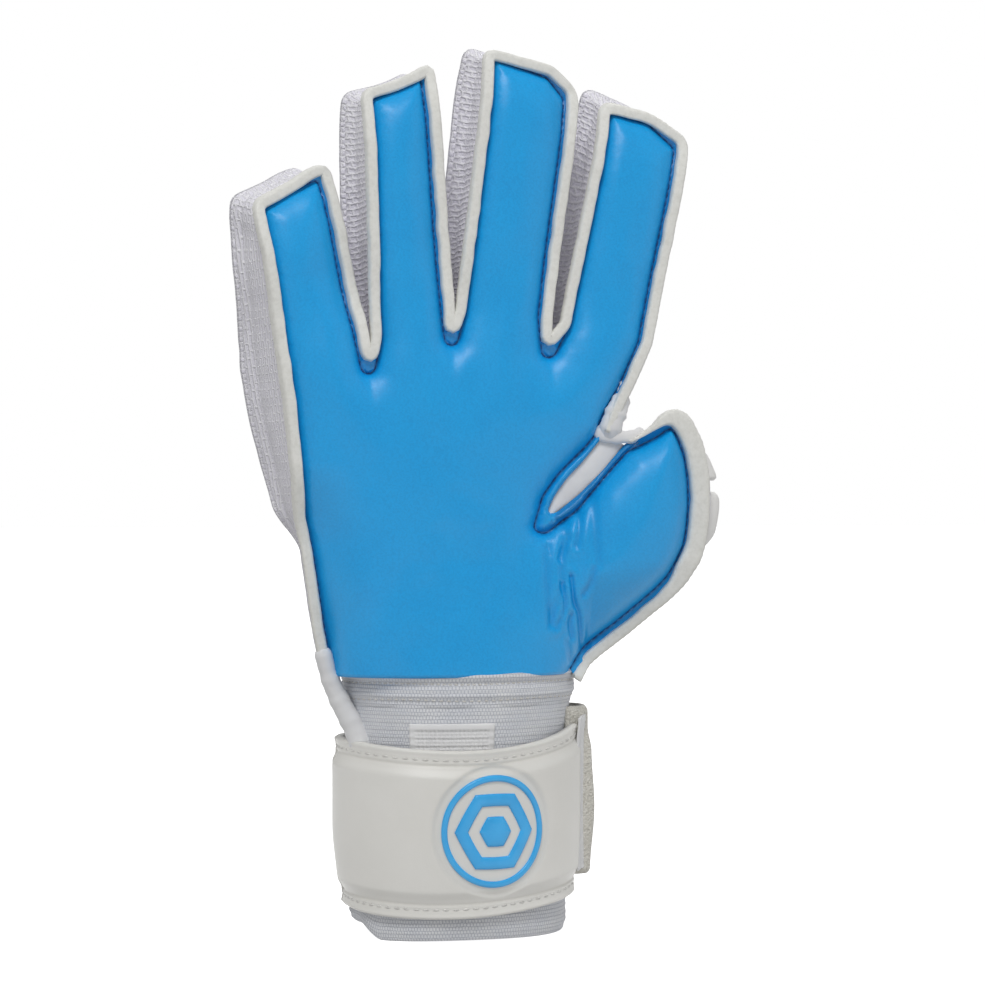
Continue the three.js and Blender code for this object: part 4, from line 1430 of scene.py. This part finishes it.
def tube(name, route, radius, material, sides=14, flat=1.0):
    """A round-ended tube along points in millimetres; radius is a function of the share of the way."""
    route = np.asarray(route, float)
    along = np.gradient(route, axis=0)
    along /= np.linalg.norm(along, axis=1)[:, None]
    side = np.cross(along[0], (0.0, 1.0, 0.0))
    if np.linalg.norm(side) < 0.1:
        side = np.cross(along[0], (0.0, 0.0, 1.0))
    rows, ends = [], [0.0, 0.55, 0.85]
    steps = [(0, share) for share in ends] + [(i, 1.0) for i in range(len(route))]
    steps += [(len(route) - 1, share) for share in reversed(ends)]
    for k, (i, share) in enumerate(steps):
        side = side - along[i] * (side @ along[i])
        side /= np.linalg.norm(side)
        up = np.cross(along[i], side)
        r = radius(i / (len(route) - 1))
        cap = math.sqrt(1 - share ** 2) * r * 0.8
        cap = -cap if k < len(ends) else cap
        middle = route[i] + along[i] * cap
        rows.append([middle + (side * math.cos(a) + up * math.sin(a) * flat) * r * max(share, 0.02)
                     for a in np.arange(sides) * 2 * math.pi / sides])
    faces = strip_faces(len(rows), sides, True)[:, ::-1].tolist()
    last = (len(rows) - 1) * sides
    faces += [list(range(sides)), [last + k for k in range(sides - 1, -1, -1)]]
    length = np.linspace(0, np.linalg.norm(np.diff(route, axis=0), axis=1).sum(), len(rows))
    cloth = [(k * 1.1, s) for s in length for k in range(sides)]
    return make_mesh(name, np.array(rows).reshape(-1, 3), faces, material, cloth)


def wrist_level(angle, share):
    """How far the strap rises or dips round the wrist; share is 0 at its lower edge and 1 at its top."""
    a = np.radians(angle)
    top = 1.0 + 2.9 * np.cos(a) + 2.2 * np.sin(a) + 1.7 * np.cos(2 * a) + 1.0 * np.sin(2 * a)
    bottom = -0.2 + 1.8 * np.cos(a) + 1.25 * np.sin(a) + 1.0 * np.cos(2 * a)
    return mix(bottom, top, share)


STRAP_LOW, STRAP_HIGH = 10.6, 64.0
STRAP_WIDE = STRAP_HIGH - STRAP_LOW
STRAP_START, STRAP_END = -187.4, -17.0
TAIL_END = 24.0          # the angle that the tail reaches round to
STRAP_BORDER = 5.0
STRAP_INSIDE = 2.3
BADGE_ANGLE, BADGE_HEIGHT, BADGE_RADIUS = -81.0, 35.6, 17.8


def strap_height(angle, up):
    """Height of the point that is `up` millimetres above the strap's lower edge."""
    return STRAP_LOW + up + wrist_level(angle, up / STRAP_WIDE)


def strap_up(angle, height):
    """How far above the strap's lower edge a height is: the other way round from strap_height."""
    low, high = wrist_level(angle, 0.0), wrist_level(angle, 1.0)
    return (height - STRAP_LOW - low) / (1 + (high - low) / STRAP_WIDE)


def badge_gap(angle, up):
    """Distance over the strap's face from the middle of the badge."""
    across = np.radians(angle - BADGE_ANGLE) * (WRIST_HALF_WIDTH + 6.0)
    return np.hypot(across, strap_height(angle, up) - BADGE_HEIGHT)


def cuff_out(angle, height):
    """The elastic's face: soft ribs, a slight waist under the strap, and two sewn rows under its top."""
    ripple = 0.10 * np.sin(height * 2 * math.pi / 2.4) + 0.14 * np.sin(np.radians(angle) * 9 + height / 9)
    waist = 1.8 * smooth((height - 60) / 22)
    hem = 0.3 * bell(height, 2.5, 2.5) - 0.9 * smooth((6 - height) / 6) ** 2
    rows = -0.35 * bell(height, 81.6, 0.6) - 0.35 * bell(height, 76.6, 0.6)
    return ripple + waist + hem + rows


def make_cuff(material):
    """The knitted elastic tube, open at the wrist, with its folded hem."""
    columns = 240
    angles = np.arange(columns) * 360 / columns - 180
    outside = np.linspace(0.6, 86.4, 130)
    inside_heights = np.linspace(85.4, 1.2, 44)
    heights = np.concatenate([outside, [87.0, 86.6], inside_heights, [0.0]])
    lining = np.full(len(inside_heights), -2.3)
    turned = np.concatenate([np.zeros(len(outside)), [-0.8, -1.7], lining, [-1.2]])
    count = len(heights)
    verts, cloth = [], []
    for angle in angles:
        out = turned + np.where(turned > -0.9, cuff_out(angle, heights), 1.8 * smooth((heights - 60) / 22))
        lifted = 4.6 * smooth((38 - (180 - abs(angle))) / 22) + 0.3 + 0.3 * math.sin(math.radians(angle) * 3)
        z = heights + lifted * smooth((16 - heights) / 16)
        x, y = oval(angle, out)
        verts.append(np.stack([x, y, z], axis=1))
        cloth.append(np.stack([np.full(count, oval_arc(angle)), heights], axis=1))
    faces = []
    for i in range(columns):
        n = (i + 1) % columns
        for j in range(count):
            k = (j + 1) % count
            faces.append((i * count + j, n * count + j, n * count + k, i * count + k))
    cuff = make_mesh("elastic_cuff_knit", np.concatenate(verts), faces, material, np.concatenate(cloth))
    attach(cuff, "root")
    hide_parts("elastic_cuff")


def binding_out(height):
    """The face of the elastic's folded top: a smooth lip over two sewn rows."""
    lip = 2.8 + 0.9 * bell(height, 84.4, 1.5) - 1.3 * smooth((78.2 - height) / 3.4)
    lip = lip - 0.5 * bell(height, 82.0, 0.7) - 0.4 * bell(height, 76.8, 0.7)
    return lip + 0.08 * np.sin(height * 2 * math.pi / 1.5) * smooth((82 - height) / 1)


def make_cuff_binding(material):
    """The rolled top of the elastic, just under the palm and back."""
    A, Z = np.meshgrid(np.linspace(-180, 180, 181), np.linspace(74.6, 86.8, 56), indexing="ij")
    piece = slab("cuff_top_binding_knit", A, Z, binding_out(Z), np.full_like(Z, 0.9), material)
    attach(piece, "root")
    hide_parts("cuff_top_binding")


def make_notch_binding(material):
    """The bound edge from the palm's corner down under the strap."""
    route = through([(-51.6, -8.6, 91.0), (-49.2, -8.0, 83.0), (-45.9, -7.6, 75.6), (-41.4, -8.2, 67.0),
                     (-38.4, -8.6, 59.0)], 0.8)

    def radius(t):
        return 2.7 + 1.2 * t + 0.10 * math.sin(t * 31) + 0.08 * math.sin(t * 57 + 1)

    piece = tube("notch_binding_roll", route, radius, material, 20)
    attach(piece, "root")
    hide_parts("notch_binding")


def make_hook_patch(material):
    """A small patch of woven hook tape sewn to the elastic above the strap, with a plain border."""
    A, Z = np.meshgrid(np.linspace(-123, -79, 110), np.linspace(55, 69.4, 50), indexing="ij")
    inset = np.minimum(np.minimum(A + 123, -79 - A) * 0.6, 69.4 - Z)
    field = smooth((inset - 1.8) / 0.5)
    s = oval_arc(A) * 1.15
    weave = 0.30 * np.sin((s + Z) * math.pi / 1.25) * np.sin((s - Z) * math.pi / 1.25)
    outer = 0.9 + 0.2 * (1 - field) + weave * field + cuff_out(A, Z)
    outer = outer - 0.5 * (1 - smooth(inset / 0.5))
    piece = slab("hook_patch_weave", A, Z, outer, cuff_out(A, Z) - 0.4, material)
    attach(piece, "root")
    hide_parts("hook_patch")


def narrowing(angle, up):
    """How far the strap's lower part is drawn in, most of all on the ulnar side."""
    ulnar = np.clip(-np.cos(np.radians(angle)), 0, 1)
    return (0.9 + 1.3 * ulnar ** 2) * smooth((26 - up) / 26)


def strap_out(angle, up):
    """The strap's outer face: a padded middle between flat sewn borders, pressed in round the badge."""
    edge = np.minimum(up, STRAP_WIDE - up)
    side = (STRAP_END - angle) * 0.7
    pad = 1.6 * smooth((edge - STRAP_BORDER) / 4.2) * mix(0.6, 1.0, smooth((side + 1) / 5))
    gap = badge_gap(angle, up)
    pressed = -0.9 * smooth((BADGE_RADIUS + 3.4 - gap) / 1.5)
    lip = 0.35 * bell(edge, 0.8, 0.7)
    crease = -0.35 * np.exp(-((edge - STRAP_BORDER + 0.3) / 0.5) ** 2)
    stitched = -0.22 * bell(edge, 3.1, 0.45)
    soft = 0.30 * np.sin(np.radians(angle) * 3 + 0.6) * smooth((edge - 6) / 8)
    droop = 0.25 * np.sin(np.radians(angle) * 7) * smooth((8 - edge) / 8)
    return 4.2 + pad + pressed + lip + crease + stitched + soft + droop - narrowing(angle, up)


def strap_rows():
    """Heights of the strap's rows of points, closer together along its borders."""
    fine = np.linspace(0, 9, 26)
    return np.concatenate([fine, np.linspace(9.8, STRAP_WIDE - 9.8, 44), STRAP_WIDE - fine[::-1]])


def make_strap_front(material):
    """The strap's front, across the front of the wrist."""
    A, U = np.meshgrid(np.linspace(STRAP_START, STRAP_END, 230), strap_rows(), indexing="ij")
    edge = np.minimum(U, STRAP_WIDE - U)
    near_end = smooth((A - STRAP_END + 6) / 6)
    A = A - near_end * 4.5 * np.clip(1 - edge / 3.0, 0, 1) ** 2
    # painted shade in the crease inside each border, along the outer edges and in a ring round the badge
    valley = 0.40 * np.exp(-((edge - STRAP_BORDER + 0.3) / 0.45) ** 2) + 0.15 * np.exp(-(edge / 0.5) ** 2)
    valley = valley + 0.22 * np.exp(-((badge_gap(A, U) - BADGE_RADIUS - 2.4) / 0.9) ** 2)
    outer = strap_out(A, U) - 0.6 * (1 - np.minimum(edge / 0.8, 1)) ** 2
    inner = STRAP_INSIDE - 1.2 * smooth((26 - U) / 26) + 2.2 * smooth((A - STRAP_END + 9) / 9)
    front = slab("strap_front_panel", A, strap_height(A, U), outer, np.minimum(inner, outer - 0.7), material)
    attribute = front.data.attributes.new("valley", "FLOAT", "POINT")
    attribute.data.foreach_set("value", np.tile(valley.reshape(-1), 2).astype(np.float32))
    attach(front, "root")
    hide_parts("strap_front")


def on_strap(angle, up, lift, out=strap_out):
    x, y = oval(angle, out(angle, up) + lift)
    return np.array([float(x), float(y), float(strap_height(angle, up))])


def border_stitches(first, last, out):
    """Places for running stitches along both borders of the strap: centre, direction and outward."""
    found = []
    for up in (3.1, STRAP_WIDE - 3.1):
        angle = first
        while angle < last:
            here, ahead = on_strap(angle, up, 0.1, out), on_strap(angle + 0.4, up, 0.1, out)
            along = (ahead - here) / np.linalg.norm(ahead - here)
            a = math.radians(angle)
            away = np.array([math.cos(a) / (WRIST_HALF_WIDTH + 5), math.sin(a) / (WRIST_HALF_DEPTH + 5), 0])
            found.append((here, along, away / np.linalg.norm(away)))
            speed = math.hypot((WRIST_HALF_WIDTH + 5) * math.sin(a), (WRIST_HALF_DEPTH + 5) * math.cos(a))
            angle += math.degrees(3.3 / speed)
    return zip(*found)


def make_strap_stitches(material):
    """The running stitches along the strap's borders."""
    verts, faces = stitch_mesh(*border_stitches(STRAP_START + 4, STRAP_END - 3, strap_out), 2.3, 0.36)
    piece = make_mesh("strap_stitches", verts, faces, material)
    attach(piece, "root")


def make_cuff_stitches(material):
    """The two sewn rows under the rolled top of the elastic, seen as small pulled loops."""
    found = []
    for height, pitch in ((82.0, 1.9), (76.8, 2.4)):
        angle = -178.0
        while angle < 178:
            sag = 0.25 * math.sin(math.radians(angle) * 5)
            reach = binding_out(height + sag) + 0.08
            x, y = oval(angle, reach)
            ahead_x, ahead_y = oval(angle + 0.4, reach)
            along = np.array([float(ahead_x - x), float(ahead_y - y), 0.0])
            speed = np.linalg.norm(along) / 0.4
            out = np.array([along[1], -along[0], 0.0])
            found.append((np.array([float(x), float(y), height + sag]), along / np.linalg.norm(along),
                          out / np.linalg.norm(out)))
            angle += pitch / speed
    verts, faces = stitch_mesh(*zip(*found), 1.35, 0.30)
    piece = make_mesh("cuff_stitches", verts, faces, material)
    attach(piece, "root")


def polar_relief(rings, height_at, radius_at, sides):
    """A thin raised shape on the strap's face, given by rings round the badge's middle."""
    verts, faces = [], []
    for share in rings:
        for k in range(sides):
            turn = 2 * math.pi * k / sides
            radius = radius_at(share, turn)
            angle = BADGE_ANGLE + math.degrees(radius * math.cos(turn) / (WRIST_HALF_WIDTH + 6.0))
            up = strap_up(angle, BADGE_HEIGHT + radius * math.sin(turn))
            verts.append(on_strap(angle, up, height_at(share)))
    for i in range(len(rings) - 1):
        for k in range(sides):
            n = (k + 1) % sides
            faces.append([i * sides + k, i * sides + n, (i + 1) * sides + n, (i + 1) * sides + k])
    return np.array(verts), faces


def polygon_radius(turn, corners, radius, phase=0.0):
    """Radius of a rounded regular polygon in the direction turn."""
    sector = 2 * math.pi / corners
    within = (turn + phase) % sector - sector / 2
    sharp = radius * math.cos(sector / 2) / math.cos(within)
    return mix(sharp, radius * 0.93, 0.15)


def make_badge(material):
    """A generic round emblem: a raised ring round a six-sided frame with a small six-sided middle."""
    sides = 144
    profile = [(0.0, -0.6), (0.0, 0.35), (0.12, 0.72), (0.35, 0.85), (0.65, 0.85), (0.88, 0.72),
               (1.0, 0.35), (1.0, -0.6), (0.0, -0.6)]
    shapes = [
        (lambda t, turn: mix(BADGE_RADIUS - 2.0, BADGE_RADIUS, t)),
        (lambda t, turn: polygon_radius(turn, 6, mix(9.2, 13.6, t))),
    ]
    verts, faces = [], []
    for shape in shapes:
        made, quads = polar_relief(profile, lambda p: p[1], lambda p, turn: shape(p[0], turn), sides)
        faces += [[v + len(verts) for v in quad] for quad in quads]
        verts += made.tolist()
    dome = [(0.02, 1.0), (0.5, 0.98), (0.85, 0.85), (1.0, 0.4), (1.0, -0.6)]
    made, quads = polar_relief(dome, lambda p: p[1],
                               lambda p, turn: polygon_radius(turn, 6, 5.4 * p[0]), sides)
    first = len(verts)
    faces += [[v + first for v in quad] for quad in quads]
    verts += made.tolist()
    faces.append([first + k for k in range(sides)])
    faces.append([first + 4 * sides + k for k in range(sides - 1, -1, -1)])
    piece = make_mesh("strap_badge_relief", np.array(verts), [tuple(f) for f in faces], material)
    weld(piece)
    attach(piece, "root")
    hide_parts("strap_badge")


def weld(piece, turn_out=True):
    """Merge doubled points and turn the faces outward."""
    mesh = bmesh.new()
    mesh.from_mesh(piece.data)
    bmesh.ops.remove_doubles(mesh, verts=mesh.verts, dist=1e-6)
    if turn_out:
        bmesh.ops.recalc_face_normals(mesh, faces=mesh.faces)
    mesh.to_mesh(piece.data)
    mesh.free()


def make_pinked_edge(material):
    """The zigzag-cut cloth that shows past the end of the strap's cover."""
    A, U = np.meshgrid(np.linspace(0, 1, 10), np.linspace(7, STRAP_WIDE + 1.5, 330), indexing="ij")
    tooth = np.abs(((U / 1.9) % 1) * 2 - 1) * 1.5
    torn = np.array([noise.noise((u / 1.3, 4.0, 2.0)) for u in U[0]])
    ragged = torn[None, :] * smooth((U - STRAP_WIDE + 9) / 5)
    A = STRAP_END - 5 + A * (8.2 + tooth + 1.8 * ragged)
    outer = 5.2 + 0.5 * smooth((U - STRAP_WIDE + 5) / 5) + 0.9 * smooth((A - STRAP_END) / 4)
    piece = slab("strap_pinked_edge", A, strap_height(A, U), outer, outer - 0.7, material)
    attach(piece, "root")


def make_anchor_tape(material):
    """The loop tape that carries on from under the strap's front round to the back of the wrist."""
    low, high = 18.0, 72.8
    A, Z = np.meshgrid(np.linspace(-21.5, 23.5, 110), np.linspace(low, high, 80), indexing="ij")
    corner = np.minimum(Z - low, high - Z)
    share = (Z - low) / (high - low)
    stand = 6.2 + 0.9 * np.sin(share * 3.3) + 0.35 * np.sin(Z / 5.5 + 0.8)
    stand = stand - 1.3 * smooth((Z - 58) / 8)
    outer = 2.1 + stand * smooth((A + 20) / 11) * smooth((23.5 - A) / 16)
    outer = outer - 0.9 * np.clip(1 - corner / 1.8, 0, 1) ** 2
    piece = slab("strap_anchor_loop_tape", A, Z, outer, outer - 1.7, material)
    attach(piece, "root")
    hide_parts("strap_anchor_tape")


def make_loop_panel(material):
    """The loop tape that the tail closes on."""
    A, U = np.meshgrid(np.linspace(26, 151, 120), np.linspace(2, STRAP_WIDE - 2, 60), indexing="ij")
    outer = 1.7 + 0.12 * np.sin(U / 3) + 0.1 * np.sin(np.radians(A) * 21)
    piece = slab("strap_loop_tape_panel", A, strap_height(A, U), outer, outer - 1.3, material)
    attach(piece, "root")
    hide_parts("strap_loop_panel")


def tail_out(angle, up):
    """The tail's outer face, level with the strap's front where they are sewn together."""
    edge = np.minimum(up, STRAP_WIDE - up)
    side = (angle - TAIL_END) * 0.65
    pad = 1.0 * smooth((edge - STRAP_BORDER) / 3) * smooth((side - 5) / 6)
    lip = 0.35 * bell(edge, 0.8, 0.7)
    stitched = -0.22 * bell(edge, 3.1, 0.45) - 0.3 * bell(side, 5.5, 0.8)
    sewn = -1.4 * smooth((angle - 140) / 32) - narrowing(angle, up) * smooth((angle - 120) / 40)
    return 6.1 + pad + lip + stitched + sewn


def make_tail(material, tape, thread):
    """The strap's tail over the back of the wrist, with its hook tape inside."""
    A, U = np.meshgrid(np.linspace(TAIL_END, 172.2, 170), strap_rows(), indexing="ij")
    edge = np.minimum(U, STRAP_WIDE - U)
    outer = tail_out(A, U) - 0.6 * (1 - np.minimum(edge / 0.8, 1)) ** 2
    A = A + smooth((34 - A) / 10) * 5.5 * np.clip(1 - edge / 7.0, 0, 1) ** 2
    tail = slab("strap_tail_panel", A, strap_height(A, U), outer,
                4.1 - 1.5 * smooth((A - 140) / 30) - narrowing(A, U) * smooth((A - 120) / 40), material)
    verts, faces = stitch_mesh(*border_stitches(33, 168, tail_out), 2.3, 0.36)
    stitches = make_mesh("strap_tail_stitches", verts, faces, thread)
    A, U = np.meshgrid(np.linspace(32, 110, 80), np.linspace(5, STRAP_WIDE - 5, 50), indexing="ij")
    outer = np.full_like(A, 4.0)
    inner = outer - 1.7 + 0.15 * np.sin(U * 2)
    hook = slab("strap_hook_tape_inside", A, strap_height(A, U), outer, inner, tape)
    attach(hook, "strap_tail")
    for piece in (tail, stitches):
        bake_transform(piece)
    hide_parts("strap_tail")
    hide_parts("strap_hook_tape")


# ---- make everything --------------------------------------------------------------------------

make_camera()
make_studio()
make_floor()

LATEX = latex_material()
CUT_FOAM = cut_foam_material()
SPACER = spacer_mesh_material()
BACK = foam_back_material()
LINING = smooth_cloth_material("white_lining", (0.84, 0.84, 0.84), (0.76, 0.76, 0.77))
STRAP = strap_material()
ELASTIC = elastic_material()
TAPE = tape_material("loop_tape", 900)
BLUE_THREAD = thread_material("blue_thread", (0.012, 0.10, 0.30), (0.006, 0.06, 0.2))
WHITE_THREAD = thread_material("white_thread", (0.82, 0.81, 0.78), (0.66, 0.65, 0.62))
BADGE = badge_material()

PLAN = plan_mesh()
make_palm(PLAN, LATEX)
make_back(PLAN, BACK)
make_walls(SPACER)
make_rim(CUT_FOAM, -1)
make_rim(SPACER, 1)
make_overlock(WHITE_THREAD)
make_lower_hems(PLAN, {"latex": LATEX, "foam": BACK})
make_thumb_pads(BACK)
make_web(LINING)
make_seam_stitches(BLUE_THREAD)
make_cuff(ELASTIC)
make_cuff_binding(ELASTIC)
make_cuff_stitches(WHITE_THREAD)
make_notch_binding(LINING)
make_hook_patch(LINING)
make_strap_front(STRAP)
make_strap_stitches(WHITE_THREAD)
make_badge(BADGE)
make_pinked_edge(LINING)
make_anchor_tape(TAPE)
make_loop_panel(TAPE)
make_tail(STRAP, TAPE, WHITE_THREAD)

LOOKS = {
    "latex": LATEX, "foam": BACK, "mesh": SPACER, "lining": LINING,
    "strap": STRAP, "badge": BADGE, "elastic": ELASTIC, "tape": TAPE,
}
for row in frame["record"]["subparts"]:
    node = frame["nodes"][row["node"]]
    node.data.materials.clear()
    node.data.materials.append(LOOKS[row["material_slot"]])
